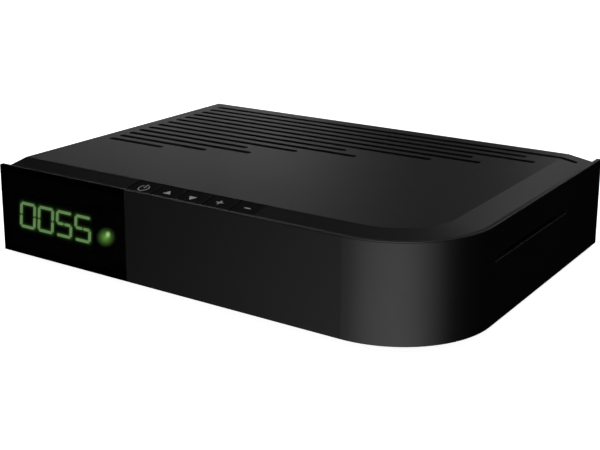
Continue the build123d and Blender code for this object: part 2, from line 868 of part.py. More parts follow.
# ---------------------------------------------------------------- aerial sockets
def aerial_points():
    """Middle of each threaded connector: across, and above the floor."""
    height = main_top + aerial_height
    return [(tuner_middle - aerial_pitch / 2, height), (tuner_middle + aerial_pitch / 2, height)]


def tuner_can():
    """The tuner's screening can, hollow under its roof."""
    w, d, h = tuner_size
    left, right = tuner_middle - w / 2, tuner_middle + w / 2
    front, back, top = port_back - d, port_back, main_top + h
    wall = tuner_wall
    can = block(left, right, front, back, main_top, top)
    hollow = block(left + wall, right - wall, front + wall, back - wall, main_top - overcut, top - wall)
    return can - hollow


def aerial_socket(x, z):
    """A threaded socket: a plain neck through the panel and its nut, then the thread."""
    end = case_depth + aerial_reach
    thread_start = port_back + neck_length
    neck = rod(aerial_neck, x, z, port_back, thread_start, socket_sides)
    socket = neck + rod(aerial_thread, x, z, thread_start, end)
    return socket - rod(aerial_bore, x, z, thread_start, end + overcut, socket_sides)


def aerial_insulator(x, z):
    """The white insulator inside a threaded socket, with the hole for the cable's core."""
    start = port_back + neck_length
    end = case_depth + aerial_reach - aerial_sunk
    body = rod(aerial_bore - screw_gap, x, z, start, end, socket_sides)
    return body - rod(aerial_pin_hole, x, z, end - aerial_pin_depth, end + overcut, hidden_sides)


def aerial_nut(x, z):
    """The hexagonal nut that holds a threaded socket to the panel."""
    face = Plane(origin=(x, panel_outer + nut_thickness, z), x_dir=(1, 0, 0), z_dir=(0, -1, 0))
    hexagon = face * RegularPolygon(nut_flats / 2, 6, major_radius=False)
    nut = extrude(hexagon, nut_thickness)
    back = panel_outer + nut_thickness + overcut
    return nut - rod(aerial_neck + screw_gap, x, z, panel_outer - overcut, back, socket_sides)


# ---------------------------------------------------------------- phono sockets
def phono_points():
    """Middle of each phono socket, upper row first."""
    low = main_top + phono_low
    columns = (phono_middle - phono_pitch / 2, phono_middle + phono_pitch / 2)
    return [(x, z) for z in (low + phono_rise, low) for x in columns]


def phono_block():
    """The moulded block of four phono sockets, with a round collar for each."""
    w, d, h = phono_block_size
    left, right = phono_middle - w / 2, phono_middle + w / 2
    body = block(left, right, port_back - d, port_back, main_top, main_top + h)
    for x, z in phono_points():
        end = port_back + phono_collar_length
        body += rod(phono_collar, x, z, port_back, end, socket_sides)
    pilot_end = panel_outer - port_screw_length - pilot_floor
    pilot = small_shank + screw_gap
    return body - rod(pilot, *phono_screw_point(), pilot_end, port_back + overcut, hidden_sides)


def phono_screw_point():
    """The screw between the four phono sockets."""
    return phono_middle, main_top + phono_low + phono_rise / 2


def phono_ring_tube(x, z):
    """The metal ring that a phono plug grips."""
    start = port_back + phono_collar_length
    end = start + phono_ring_length
    tube = rod(phono_ring, x, z, start, end)
    bore = phono_ring - phono_ring_wall
    return tube - rod(bore, x, z, start - overcut, end + overcut, socket_sides)


def phono_core(x, z):
    """The coloured core inside a ring, with the hole for the plug's pin."""
    start = port_back + phono_collar_length
    end = start + phono_ring_length - phono_ring_wall
    core = rod(phono_ring - phono_ring_wall - screw_gap, x, z, start, end, socket_sides)
    return core - rod(phono_hole, x, z, start + phono_hole_floor, end + overcut, small_sides)


# ---------------------------------------------------------------- digital sockets
def socket_outline(size, corner):
    """A socket's mouth: a rectangle with its lower corners cut off."""
    w, h = size
    shape = Rectangle(w, h)
    return chamfer(shape.vertices().sort_by(Axis.Y)[:2], corner) if corner else shape


def pressed_shell(middle, size, corner):
    """A pressed steel shell, open to the back and closed at its inner end."""
    w, h, depth = size
    end = panel_outer + shell_wall
    z = main_top + h / 2
    back = Plane(origin=(middle, end, z), x_dir=(-1, 0, 0), z_dir=(0, 1, 0))
    outer = socket_outline((w, h), corner)
    inner = socket_outline((w - 2 * shell_wall, h - 2 * shell_wall), corner)
    return extrude(back * outer, -depth) - extrude(back * inner, -(depth - shell_back))


def tongue(middle, size, height, depth, lift):
    """The contact tongue inside a shell, a little short of its mouth."""
    w, h = size
    end = panel_outer + shell_wall
    z = main_top + height / 2 + lift
    inner, outer = end - depth + shell_back, end - tongue_sunk
    return block(middle - w / 2, middle + w / 2, inner, outer, z - h / 2, z + h / 2)


# ---------------------------------------------------------------- SCART socket
def scart_outline(grow):
    """The mouth's outline, with the one slanted corner that keys the plug."""
    w, h = scart_mouth
    shape = Rectangle(w + 2 * grow, h + 2 * grow)
    corner = shape.vertices().sort_by(lambda v: v.X - v.Y)[-1]
    return chamfer(corner, scart_corner)


def scart_plane(y):
    """Drawing plane of the SCART mouth, seen from behind."""
    return Plane(origin=(scart_middle, y, scart_height()), x_dir=(-1, 0, 0), z_dir=(0, 1, 0))


def scart_height():
    """Height of the SCART socket's middle."""
    return main_top + scart_body[2] / 2


def scart_socket():
    """A moulded body with ears, a mouth through the panel, and an insert with two rows of contacts."""
    w, d, h = scart_body
    left, right = scart_middle - w / 2, scart_middle + w / 2
    body = block(left, right, port_back - d, port_back, main_top, main_top + h)
    z = scart_height()
    ear = scart_ear_height / 2
    body += block(left - scart_ear, right + scart_ear, port_back - d / 2, port_back, z - ear, z + ear)
    end = panel_outer + scart_reach
    body += extrude(scart_plane(end) * scart_outline(0), port_back - end)
    body -= extrude(scart_plane(end) * scart_outline(-scart_wall), -scart_depth)
    half_w, half_h = scart_insert[0] / 2, scart_insert[1] / 2
    insert_end = end - scart_insert_sunk
    inner = end - scart_depth
    body += block(scart_middle - half_w, scart_middle + half_w, inner, insert_end, z - half_h, z + half_h)
    for x, row_z in scart_contact_points():
        cw, ch = scart_contact_size[0] / 2, scart_contact_size[1] / 2
        depth = insert_end - scart_contact_depth
        body -= block(x - cw, x + cw, depth, end, row_z - ch, row_z + ch)
    for x in scart_screws():
        pilot = small_shank + screw_gap
        body -= rod(pilot, x, z, port_back - d, port_back + overcut, hidden_sides)
    return body


def scart_contact_points():
    """Middle of each contact slot in the insert: two rows, half a pitch out of step."""
    points = []
    for shift, rise in ((-0.25, 0.25), (0.25, -0.25)):
        z = scart_height() + rise * scart_insert[1]
        for i in range(scart_contacts):
            step = i - (scart_contacts - 1) / 2 + shift
            points.append((scart_middle + step * scart_contact_pitch, z))
    return points


def scart_screws():
    """Screws through the two ears."""
    reach = scart_body[0] / 2 + scart_ear / 2
    return scart_middle - reach, scart_middle + reach


# ---------------------------------------------------------------- power inlet and switch
def dc_inlet():
    """The low-voltage inlet's block and the pin in the middle of its bore."""
    w, d, h = dc_size
    end = panel_outer + shell_wall
    z = main_top + dc_height
    body = block(dc_middle - w / 2, dc_middle + w / 2, end - d, end, main_top, main_top + h)
    body -= rod(dc_bore, dc_middle, z, end - dc_depth, end + overcut, socket_sides)
    pin = rod(dc_pin, dc_middle, z, end - dc_depth, end - dc_depth + dc_pin_length)
    return body, pin


def rocker_centre():
    """The rocker's pivot."""
    return rocker_middle, case_depth - rocker_pivot_depth, main_top + rocker_body[1] / 2


def rocker_frame():
    """The switch body: a flange outside the panel and a pocket with a bearing hole in each side."""
    x, y, z = rocker_centre()
    pocket_floor = y + rocker_rear[1][0] - rocker_swing
    frame = upright_block((x, z), rocker_body, case_depth - rocker_body_depth, panel_outer)
    frame += upright_block((x, z), rocker_flange, panel_outer, case_depth)
    frame -= upright_block((x, z), rocker_pocket, pocket_floor, case_depth + overcut)
    reach = rocker_width / 2 + rocker_pin_length + joint_gap
    bearing = Pos(x, y, z) * Rot(0, 90, 0) * Cylinder(rocker_pin + rocker_pin_gap, 2 * reach)
    return frame - bearing


def power_rocker():
    """The rocker itself, tilted with its upper half pressed in, on a pin at each side."""
    x, y, z = rocker_centre()
    outline = Polyline(*rocker_front, *rocker_rear, close=True)
    side = Plane(origin=(-rocker_width / 2, 0, 0), x_dir=(0, 1, 0), z_dir=(1, 0, 0))
    body = extrude(side * make_face(outline), rocker_width)
    length = rocker_width + 2 * rocker_pin_length
    body += Rot(0, 90, 0) * Cylinder(rocker_pin, length)
    return Pos(x, y, z) * Rot(rocker_tilt, 0, 0) * body


# ---------------------------------------------------------------- rear panel
def port_hole(middle, z, size):
    """A rectangular opening in the panel, round a socket and its gap."""
    opening = (size[0] + 2 * port_gap, size[1] + 2 * port_gap)
    return upright_block((middle, z), opening, panel_inner - overcut, panel_outer + overcut)


def round_hole(radius, x, z, sides):
    """A round opening in the panel."""
    return rod(radius, x, z, panel_inner - overcut, panel_outer + overcut, sides)


def rear_panel():
    """The flat plate between cover and bottom case, cut out round each socket."""
    low = tray_floor + joint_gap
    high = cover_under - joint_gap
    panel = block(panel_left, panel_right, panel_inner, panel_outer, low, high)
    aerials, phonos, screws = aerial_points(), phono_points(), rear_screw_points()
    holes = [round_hole(aerial_neck + clear_gap, *point, socket_sides) for point in aerials]
    holes += [round_hole(phono_collar + clear_gap, *point, socket_sides) for point in phonos]
    holes += [round_hole(small_shank + clear_gap, *point, hidden_sides) for point in screws]
    holes.append(port_hole(hdmi_middle, main_top + hdmi_size[1] / 2, hdmi_size))
    holes.append(port_hole(usb_middle, main_top + usb_size[1] / 2, usb_size))
    holes.append(port_hole(dc_middle, main_top + dc_size[2] / 2, (dc_size[0], dc_size[2])))
    x, _, z = rocker_centre()
    holes.append(port_hole(x, z, rocker_body))
    outline = scart_plane(panel_outer + overcut) * scart_outline(port_gap)
    holes.append(extrude(outline, -panel_thickness - 2 * overcut))
    for hole in holes:
        panel -= hole
    return panel


def rear_screw_points():
    """Where screws go through the panel: into the SCART socket's ears and the phono block."""
    return [(x, scart_height()) for x in scart_screws()] + [phono_screw_point()]


def rear_screws():
    """The screws through the panel."""
    form = (small_shank, small_head, small_head_height)
    return [flat_screw(x, z, panel_outer, port_screw_length, *form) for x, z in rear_screw_points()]


# ---------------------------------------------------------------- card reader
def reader_span():
    """Front and back of the card reader."""
    half = card_width / 2 + card_gap + reader_rail
    return card_slot_middle - half, card_slot_middle + half


def reader_low():
    """Underside of the card reader, on top of its board."""
    return card_slot_height - card_slot_gap / 2 - reader_base


def card_reader():
    """The reader's frame: a base, two rails and a roof with a window, open towards the slot in the band."""
    front, back = reader_span()
    low = reader_low()
    slot_low, slot_high = low + reader_base, low + reader_base + card_slot_gap
    right = panel_right
    left = right - reader_length
    roof = slot_high + reader_roof
    rail, border = reader_rail, reader_window
    frame = block(left, right, front, back, low, roof)
    frame -= block(left + rail, right + overcut, front + rail, back - rail, slot_low, slot_high)
    window = block(left + border, right - border, front + border, back - border, slot_high, roof + overcut)
    return frame - window


def card_contacts():
    """Two rows of contact springs on the reader's base."""
    low = reader_low() + reader_base
    middle = panel_right - reader_length / 2
    strips = []
    for x in (middle - contact_rows / 2, middle + contact_rows / 2):
        for i in range(contact_count):
            y = card_slot_middle + (i - (contact_count - 1) / 2) * contact_pitch
            strips.append(chip((x, y), contact_size, low))
    return strips


def card_board():
    """The small board under the card reader."""
    front, back = reader_span()
    right = right_inner - cover_gap * 2
    return block(right - reader_length, right, front, back, reader_low() - board_thickness, reader_low())


def card_spacers():
    """Four pillars between the main board and the card reader's board."""
    front, back = reader_span()
    right = right_inner - cover_gap * 2
    left = right - reader_length
    columns = (left + spacer_inset, right - 2 * spacer_inset)
    rows = (front + spacer_inset, back - spacer_inset)
    top = reader_low() - board_thickness
    return [post(spacer_radius, (x, y), main_top, top) for x in columns for y in rows]


# ---------------------------------------------------------------- ribbons
def ribbon(x, y, top):
    """A flat ribbon that drops from a header, bends, and runs level to the main board's header."""
    level = main_top + ribbon_rise
    path = FilletPolyline((x, y, top), (x, y, level), (x, main_header_front, level), radius=ribbon_bend)
    start = Plane(origin=(x, y, top), x_dir=(1, 0, 0), z_dir=(0, 0, -1))
    return sweep(start * Rectangle(ribbon_width, ribbon_thickness), path=path)


def header(x, y0, y1, z0, z1):
    """The plastic block at a ribbon's end."""
    half = ribbon_width / 2 + header_border
    return block(x - half, x + half, y0, y1, z0, z1)


def ribbon_headers():
    """One header on the front board, one under the key board and two on the main board."""
    front_x, front_z = front_header_middle
    across, key_y = key_header_middle
    board_back = front_board_gap + board_thickness
    half, half_depth = header_height / 2, header_depth / 2
    key_low = key_board_low - header_height
    main_end = main_header_front + header_depth
    main_high = main_top + header_height
    return [
        header(front_x, board_back, board_back + header_depth, front_z - half, front_z + half),
        header(across, key_y - half_depth, key_y + half_depth, key_low, key_board_low),
        header(front_x, main_header_front, main_end, main_top, main_high),
        header(across, main_header_front, main_end, main_top, main_high),
    ]


def build():
    """Makes every piece and writes it."""
    os.makedirs("parts", exist_ok=True)
    band, window = front_band_and_window()
    save("front_band", band)
    save("display_window", window)
    save("top_cover", top_cover())
    save("bottom_case", bottom_case())
    save("rubber_feet", *rubber_feet())
    save("case_screws", *case_screws())

    for index, name in enumerate(key_names):
        save(f"{name}_key", key(index))
        save(f"{name}_plunger", plunger(index))
    save("key_switches", *[switch_body(i) for i in range(len(key_names))])
    save("key_guide", key_guide())
    save("key_board", key_board())

    save("front_board", front_board())
    save("digit_display", digit_display())
    save("status_light", status_light())
    save("infrared_eye", infrared_eye())
    save("small_screws", *small_screws())

    save("main_board", main_board())
    save("board_screws", *board_screws())
    save("processor", chip(processor_point, processor_size, main_top))
    save("heat_sink", heat_sink())
    save("memory_chips", *[chip(point, memory_size, main_top) for point in memory_points])
    save("capacitors", *[capacitor(*values) for values in capacitors])
    save("coils", *[coil(*point) for point in coils])

    save("tuner_can", tuner_can())
    for name, (x, z) in zip(("aerial_input", "aerial_output"), aerial_points()):
        save(name, aerial_socket(x, z))
    save("aerial_insulators", *[aerial_insulator(x, z) for x, z in aerial_points()])
    save("aerial_nuts", *[aerial_nut(x, z) for x, z in aerial_points()])

    save("phono_block", phono_block())
    save("phono_rings", *[phono_ring_tube(x, z) for x, z in phono_points()])
    for name, (x, z) in zip(phono_names, phono_points()):
        save(f"{name}_core", phono_core(x, z))
    save("hdmi_socket", pressed_shell(hdmi_middle, hdmi_size, hdmi_corner))
    save("usb_socket", pressed_shell(usb_middle, usb_size, 0))
    save(
        "socket_tongues",
        tongue(hdmi_middle, hdmi_tongue, *hdmi_size[1:], hdmi_tongue_lift),
        tongue(usb_middle, usb_tongue, *usb_size[1:], usb_tongue_lift),
    )
    save("scart_socket", scart_socket())
    inlet, inlet_pin = dc_inlet()
    save("dc_inlet", inlet)
    save("dc_pin", inlet_pin)
    save("rocker_frame", rocker_frame())
    save("power_rocker", power_rocker())
    save("rear_panel", rear_panel())
    save("rear_screws", *rear_screws())

    save("card_reader", card_reader())
    save("card_contacts", *card_contacts())
    save("card_board", card_board())
    save("card_spacers", *card_spacers())
    front_x, front_z = front_header_middle
    front_y = front_board_gap + board_thickness + header_depth / 2
    save("front_ribbon", ribbon(front_x, front_y, front_z - header_height / 2))
    key_header_x, key_header_y = key_header_middle
    save("key_ribbon", ribbon(key_header_x, key_header_y, key_board_low - header_height))
    save("ribbon_headers", *ribbon_headers())


build()
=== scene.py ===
# %% [markdown]
# # A satellite receiver, finished for its portrait
# The engineering model gives every moulding, board and socket its shape and place. This lesson
# adds what a model for making leaves out: grained and polished plastic, lit digits behind a
# smoked window, printed key signs, cut threads and cross-headed screws, and the studio round it.

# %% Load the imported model
import json
import math

import bmesh
import bpy
from mathutils import Euler, Matrix, Vector
from mathutils.geometry import intersect_point_line


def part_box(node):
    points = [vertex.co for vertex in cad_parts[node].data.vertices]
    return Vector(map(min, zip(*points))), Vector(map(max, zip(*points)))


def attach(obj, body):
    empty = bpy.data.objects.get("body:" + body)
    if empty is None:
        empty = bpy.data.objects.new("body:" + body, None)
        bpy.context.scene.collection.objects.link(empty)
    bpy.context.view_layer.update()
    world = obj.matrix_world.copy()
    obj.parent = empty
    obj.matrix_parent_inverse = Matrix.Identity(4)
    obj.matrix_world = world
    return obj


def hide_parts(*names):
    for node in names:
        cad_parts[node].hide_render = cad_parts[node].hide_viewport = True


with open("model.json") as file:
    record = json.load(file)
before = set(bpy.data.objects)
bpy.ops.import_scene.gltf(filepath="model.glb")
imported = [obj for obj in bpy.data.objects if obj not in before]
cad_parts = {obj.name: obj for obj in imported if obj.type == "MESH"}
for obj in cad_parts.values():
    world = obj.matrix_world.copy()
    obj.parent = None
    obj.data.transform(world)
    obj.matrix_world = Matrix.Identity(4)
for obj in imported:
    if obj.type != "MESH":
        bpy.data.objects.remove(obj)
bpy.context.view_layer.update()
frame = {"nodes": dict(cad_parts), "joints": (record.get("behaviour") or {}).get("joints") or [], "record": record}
nodes = frame["nodes"]

# %% [markdown]
# ## Measures
# A maker reads this object from the left end of its front band: so far across, so far back from
# the band's face, so far up from its lower edge. `spot` turns such a reading in millimetres into
# a point. The operators work in metres, so every measure passes through `MM` on its way.

# %% Measures and places
MM = 0.001
BAND_WIDE = 220.0  # over the band, from its left end to its right face
PANEL_BACK = 160.0  # the rear panel's outer face, behind the band's face
band_low, band_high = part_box("front_band")


def spot(across, back, up):
    """A point read in millimetres from the band's left end, its front face and its lower edge."""
    return band_low + Vector((across, back, up)) * MM


def middle_of(node):
    """The middle of a node's box."""
    low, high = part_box(node)
    return (low + high) / 2


print("band measures", [round(v / MM, 1) for v in band_high - band_low])

# %% [markdown]
# ## Working at the bench
# New pieces are modelled as by hand: add a primitive, go into edit mode, pick faces or edges, and
# extrude, inset or bevel them. Everything is deselected first, because an operator acts on all
# that is selected. These helpers pick by place and normal, and put a finished piece on the body
# it moves with.

# %% Picking up and putting down
NEAR = 0.01 * MM  # how close two places are to count as one
ALONG = 0.99  # how nearly a direction follows an axis to count as along it; 1 is exactly


def take(*pieces):
    """Selects these objects alone, the last one active."""
    bpy.ops.object.select_all(action="DESELECT")
    for piece in pieces:
        piece.select_set(True)
    bpy.context.view_layer.objects.active = pieces[-1]


def settle(piece):
    """Puts the piece's place, turn and scale into its mesh."""
    take(piece)
    bpy.ops.object.transform_apply(location=True, rotation=True, scale=True)
    return piece


def begin_edit(kind="FACE"):
    """Enters edit mode on the active piece with nothing picked."""
    bpy.ops.object.mode_set(mode="EDIT")
    bpy.ops.mesh.select_mode(type=kind)
    bpy.ops.mesh.select_all(action="DESELECT")


def end_edit():
    """Leaves edit mode and returns the piece."""
    bpy.ops.object.mode_set(mode="OBJECT")
    return bpy.context.object


def pick_faces(test):
    """Picks the faces whose middle and normal pass the test."""
    bpy.ops.mesh.select_mode(type="FACE")
    mesh = bmesh.from_edit_mesh(bpy.context.object.data)
    for face in mesh.faces:
        face.select_set(test(face.calc_center_median(), face.normal))
    bmesh.update_edit_mesh(bpy.context.object.data)


def pick_edges(test):
    """Picks the edges whose middle and direction pass the test."""
    bpy.ops.mesh.select_mode(type="EDGE")
    mesh = bmesh.from_edit_mesh(bpy.context.object.data)
    for edge in mesh.edges:
        a, b = (v.co for v in edge.verts)
        edge.select_set(test((a + b) / 2, (b - a).normalized()))
    bmesh.update_edit_mesh(bpy.context.object.data)


# %% Primitives at their size and place
def add_box(size, place=(0, 0, 0)):
    """A block of that size in millimetres, its middle at a point in metres."""
    bpy.ops.object.select_all(action="DESELECT")
    bpy.ops.mesh.primitive_cube_add(size=1, location=place)
    bpy.context.object.scale = Vector(size) * MM
    return settle(bpy.context.object)


def add_rod(radius, depth, sides, place=(0, 0, 0), turn=(0, 0, 0)):
    """A round bar, its measures in millimetres."""
    bpy.ops.object.select_all(action="DESELECT")
    bpy.ops.mesh.primitive_cylinder_add(
        vertices=sides, radius=radius * MM, depth=depth * MM, location=place, rotation=turn
    )
    return settle(bpy.context.object)


def add_plate(width, depth, place=(0, 0, 0)):
    """A flat rectangle that faces up."""
    bpy.ops.object.select_all(action="DESELECT")
    bpy.ops.mesh.primitive_plane_add(size=1, location=place)
    bpy.context.object.scale = (width * MM, depth * MM, 1)
    return settle(bpy.context.object)


def add_disc(radius, sides, turn=(0, 0, 0)):
    """A flat round or many-sided face that looks up."""
    bpy.ops.object.select_all(action="DESELECT")
    bpy.ops.mesh.primitive_circle_add(
        vertices=sides, radius=radius * MM, fill_type="NGON", rotation=turn
    )
    return settle(bpy.context.object)


# %% Edits in millimetres
def bevel(width, steps=2):
    """Rounds the picked edges."""
    bpy.ops.mesh.bevel(offset=width * MM, segments=steps, affect="EDGES")


def inset(width):
    """Draws a smaller face inside the picked one."""
    bpy.ops.mesh.inset(thickness=width * MM)


def extrude(*move):
    """Pulls the picked faces or edges out."""
    bpy.ops.mesh.extrude_region_move(TRANSFORM_OT_translate={"value": Vector(move) * MM})


def face_outwards():
    """Turns every face of the piece outwards."""
    bpy.ops.mesh.select_all(action="SELECT")
    bpy.ops.mesh.normals_make_consistent(inside=False)


# %% Joining, copying and finishing
def apply_modifiers(piece):
    """Applies every modifier in order."""
    take(piece)
    for modifier in list(piece.modifiers):
        bpy.ops.object.modifier_apply(modifier=modifier.name)


def cut(piece, cutter, operation="DIFFERENCE"):
    """Takes the cutter out of the piece, or keeps what both share, and drops the cutter."""
    modifier = piece.modifiers.new("cut", "BOOLEAN")
    modifier.operation, modifier.solver, modifier.object = operation, "EXACT", cutter
    apply_modifiers(piece)
    bpy.data.objects.remove(cutter)


def copied(piece, place=(0, 0, 0), turn=(0, 0, 0)):
    """A copy with its own mesh, turned and then moved."""
    twin = piece.copy()
    twin.data = piece.data.copy()
    bpy.context.scene.collection.objects.link(twin)
    twin.data.transform(Matrix.Translation(place) @ Euler(turn).to_matrix().to_4x4())
    return twin


def copies(piece, places, turn=(0, 0, 0)):
    """Copies at several places as one piece; the pattern they were made from is dropped."""
    row = joined([copied(piece, place, turn) for place in places])
    bpy.data.objects.remove(piece)
    return row


def joined(pieces):
    """Several meshes as one piece."""
    take(*pieces)
    if len(pieces) > 1:
        bpy.ops.object.join()
    return bpy.context.object


def finish_piece(piece, name, body, material, stands_for=(), angle=35):
    """Names a piece, smooths it, dresses it and sets it on its body."""
    settle(piece)
    piece.name = piece.data.name = name
    piece.data.materials.clear()
    piece.data.materials.append(material)
    bpy.ops.object.shade_smooth_by_angle(angle=math.radians(angle))
    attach(piece, body)
    if stands_for:
        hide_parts(*stands_for)
    print(name, len(piece.data.polygons), "faces on", body)


# %% [markdown]
# ## Writing materials as sums
# A finish is a Principled shader fed by patterns. `Wire` stands for a node's output, and sums and
# products of wires and numbers become Math nodes, so a pattern reads like a formula. Every other
# node comes from one method, `add`, which takes the node's type, its settings and what its
# sockets get.


# %% Wires and the bench they are drawn on
class Wire:
    """The output of a node. Arithmetic on it adds Math nodes."""

    def __init__(self, bench, socket):
        self.bench = bench
        self.socket = socket

    def math(self, operation, first, second=0.0, clamp=False):
        settings = {"operation": operation, "use_clamp": clamp}
        return self.bench.add("ShaderNodeMath", settings, {0: first, 1: second})

    def __add__(self, other):
        return self.math("ADD", self, other)

    def __sub__(self, other):
        return self.math("SUBTRACT", self, other)

    def __rsub__(self, other):
        return self.math("SUBTRACT", other, self)

    def __mul__(self, other):
        return self.math("MULTIPLY", self, other)

    def __truediv__(self, other):
        return self.math("DIVIDE", self, other)

    def __pow__(self, other):
        return self.math("POWER", self, other)

    def clamped(self):
        return self.math("ADD", self, clamp=True)

    __radd__ = __add__
    __rmul__ = __mul__


class Bench:
    """A node tree, and the two things done on it: adding a node and feeding a socket."""

    def __init__(self, tree):
        self.tree = tree

    def feed(self, socket, value):
        """Gives a socket a wire or a plain value."""
        if isinstance(value, Wire):
            self.tree.links.new(value.socket, socket)
        else:
            socket.default_value = value

    def add(self, kind, settings=None, sockets=None, output=0):
        """Makes a node: its settings first, then its sockets."""
        node = self.tree.nodes.new(kind)
        for key, value in (settings or {}).items():
            setattr(node, key, value)
        for key, value in (sockets or {}).items():
            self.feed(node.inputs[key], value)
        return Wire(self, node.outputs[output])


# %% A finish and its patterns
class Finish(Bench):
    """A material: a Principled shader and the patterns that feed it."""

    def __init__(self, name, color, **sockets):
        self.material = bpy.data.materials.new(name)
        self.material.use_nodes = True
        super().__init__(self.material.node_tree)
        self.shader = self.tree.nodes["Principled BSDF"]
        self.give(Base_Color=(*color, 1.0), **sockets)

    def give(self, **sockets):
        """Feeds the shader's own sockets."""
        for socket, value in sockets.items():
            self.feed(self.shader.inputs[socket.replace("_", " ")], value)

    def place(self, scale=(1, 1, 1), shift=(0, 0, 0)):
        """Object coordinates in metres, stretched and shifted if asked."""
        seen = self.add("ShaderNodeTexCoord", output="Object")
        sockets = {"Vector": seen, "Scale": scale, "Location": shift}
        return self.add("ShaderNodeMapping", sockets=sockets)

    def parts(self, vector, *axes):
        """The wanted coordinates of a vector, each as a wire of its own."""
        kind, sockets = "ShaderNodeSeparateXYZ", {0: vector}
        return [self.add(kind, sockets=sockets, output=axis) for axis in axes]

    def noise(self, scale, detail=2.0, roughness=0.5, stretch=(1, 1, 1)):
        """A cloudy pattern with that many waves to the metre."""
        sockets = {"Vector": self.place(stretch), "Scale": scale}
        sockets.update(Detail=detail, Roughness=roughness)
        return self.add("ShaderNodeTexNoise", sockets=sockets)

    # Its mask makes sharp edges paler: part wear, part a painted highlight along the edges.
    def rubbed_and_highlit(self, radius, gain):
        """A mask of sharp edges: there a rounded normal leaves the true one."""
        rounded = self.add("ShaderNodeBevel", {"samples": 4}, {"Radius": radius * MM})
        true = self.add("ShaderNodeNewGeometry", output="Normal")
        dot = {"operation": "DOT_PRODUCT"}
        alike = self.add("ShaderNodeVectorMath", dot, {0: rounded, 1: true}, "Value")
        return ((1 - alike) * gain).clamped()

    def tint(self, dark, light, mask):
        """Two colours, each plain or a pattern, mixed by a mask."""
        dark, light = (c if isinstance(c, Wire) else (*c, 1.0) for c in (dark, light))
        sockets = {0: mask, 6: dark, 7: light}
        return self.add("ShaderNodeMix", {"data_type": "RGBA"}, sockets, output=2)

    def bump(self, height, strength, depth):
        """Feeds a height, at its full depth in millimetres, to the shader's normal."""
        sockets = {"Height": height, "Strength": strength, "Distance": depth * MM}
        self.give(Normal=self.add("ShaderNodeBump", sockets=sockets))


# %% [markdown]
# ## Black plastics
# The band is polished, the cover is spark-eroded to a fine grain, keys and sockets lie between.
# They differ in grain and roughness far more than in colour, so each gets its own scale of noise:
# pores for the bump, a slow cloud for the sheen, specks of dust that lift the colour, and sharp
# edges made a little paler and smoother, partly as wear from hands and partly as a painted
# highlight along the edges.

# %% Moulded plastics
PLASTIC_IOR = 1.5
CLOUDS, SPECKS = 24.0, 700.0  # waves to the metre
SPECK_FROM, SPECK_GAIN = 0.66, 9.0  # noise at which a speck begins, and how sharp its rim is
# Edges made paler and smoother: part wear from hands, part a painted highlight.
RUB_AND_HIGHLIGHT_RADIUS, RUB_AND_HIGHLIGHT_GAIN = 0.5, 5.0  # reach in mm of what hands rub, and how soon it shows


def moulded(name, color, roughness, grain, depth, strength=0.25, specular=0.5, dust=0.15, wear=0.4):
    """A moulded plastic: pores, an uneven sheen, specks of dust, and edges paled by wear and a painted highlight.
    """
    finish = Finish(name, color, Specular_IOR_Level=specular, IOR=PLASTIC_IOR)
    cloud = finish.noise(CLOUDS, 3.0)
    pores = finish.noise(grain, 2.0, 0.6)
    specks = ((finish.noise(SPECKS, 1.0) - SPECK_FROM) * SPECK_GAIN).clamped()
    # Paler sharp edges: part wear, part a painted highlight along them.
    worn_and_highlit = finish.rubbed_and_highlit(RUB_AND_HIGHLIGHT_RADIUS, RUB_AND_HIGHLIGHT_GAIN) * wear
    dusty = [c * (1 + dust) + 0.002 * dust for c in color]
    pale = [c * 1.6 + 0.004 for c in color]
    mask = (cloud * 0.8 + specks * 0.6).clamped()
    finish.give(Base_Color=finish.tint(finish.tint(color, dusty, mask), pale, worn_and_highlit))
    finish.give(Roughness=roughness + (cloud - 0.5) * 0.06 + (pores - 0.5) * 0.04 - worn_and_highlit * 0.06)
    finish.bump(pores, strength, depth)
    return finish.material


PLASTICS = {
    # colour, roughness, pores to the metre, their depth in mm, then what differs from the usual
    "gloss_black": ((0.0015, 0.0015, 0.0017), 0.42, 900.0, 0.01, 0.05, 0.5, 0.05),
    "case_black": ((0.0052, 0.0052, 0.0055), 0.40, 2600.0, 0.03, 0.3),
    "key_black": ((0.0018, 0.0018, 0.0020), 0.42, 2600.0, 0.02, 0.2, 0.3),
    "socket_black": ((0.0100, 0.0100, 0.0100), 0.38, 1500.0, 0.02, 0.2),
    "chip_black": ((0.0140, 0.0140, 0.0140), 0.55, 5000.0, 0.02, 0.3),
    "display_black": ((0.0015, 0.0015, 0.0017), 0.42, 1500.0, 0.01, 0.1),
    "foot_rubber": ((0.0180, 0.0180, 0.0180), 0.80, 1800.0, 0.05, 0.4, 0.2, 0.6),
    "panel_black": ((0.0150, 0.0150, 0.0155), 0.42, 1400.0, 0.06, 0.35),
    "socket_white": ((0.70, 0.69, 0.64), 0.40, 1500.0, 0.02, 0.15),
    "plunger_white": ((0.68, 0.67, 0.60), 0.45, 1500.0, 0.02, 0.15),
    "capacitor_sleeve": ((0.012, 0.014, 0.05), 0.30, 900.0, 0.01, 0.1),
    "core_orange": ((0.72, 0.17, 0.015), 0.38, 1500.0, 0.01, 0.1),
    "core_yellow": ((0.80, 0.56, 0.03), 0.38, 1500.0, 0.01, 0.1),
    "core_white": ((0.78, 0.78, 0.75), 0.38, 1500.0, 0.01, 0.1),
    "core_red": ((0.52, 0.015, 0.015), 0.38, 1500.0, 0.01, 0.1),
}
finishes = {name: moulded(name, *recipe) for name, recipe in PLASTICS.items()}
print("moulded finishes", len(finishes))

# %% [markdown]
# ## Metals, boards and cable
# Pressed steel shows the lines of the rolling mill, so its noise is stretched along one direction.
# Nickel and gold plate are smooth with a faint haze. A circuit board is green lacquer over
# copper: tracks stand a little proud and look lighter. A flat cable is a row of round wires side
# by side, its grooves between them darkened with painted shade.

# %% Metals
STAINS = 60.0  # waves to the metre


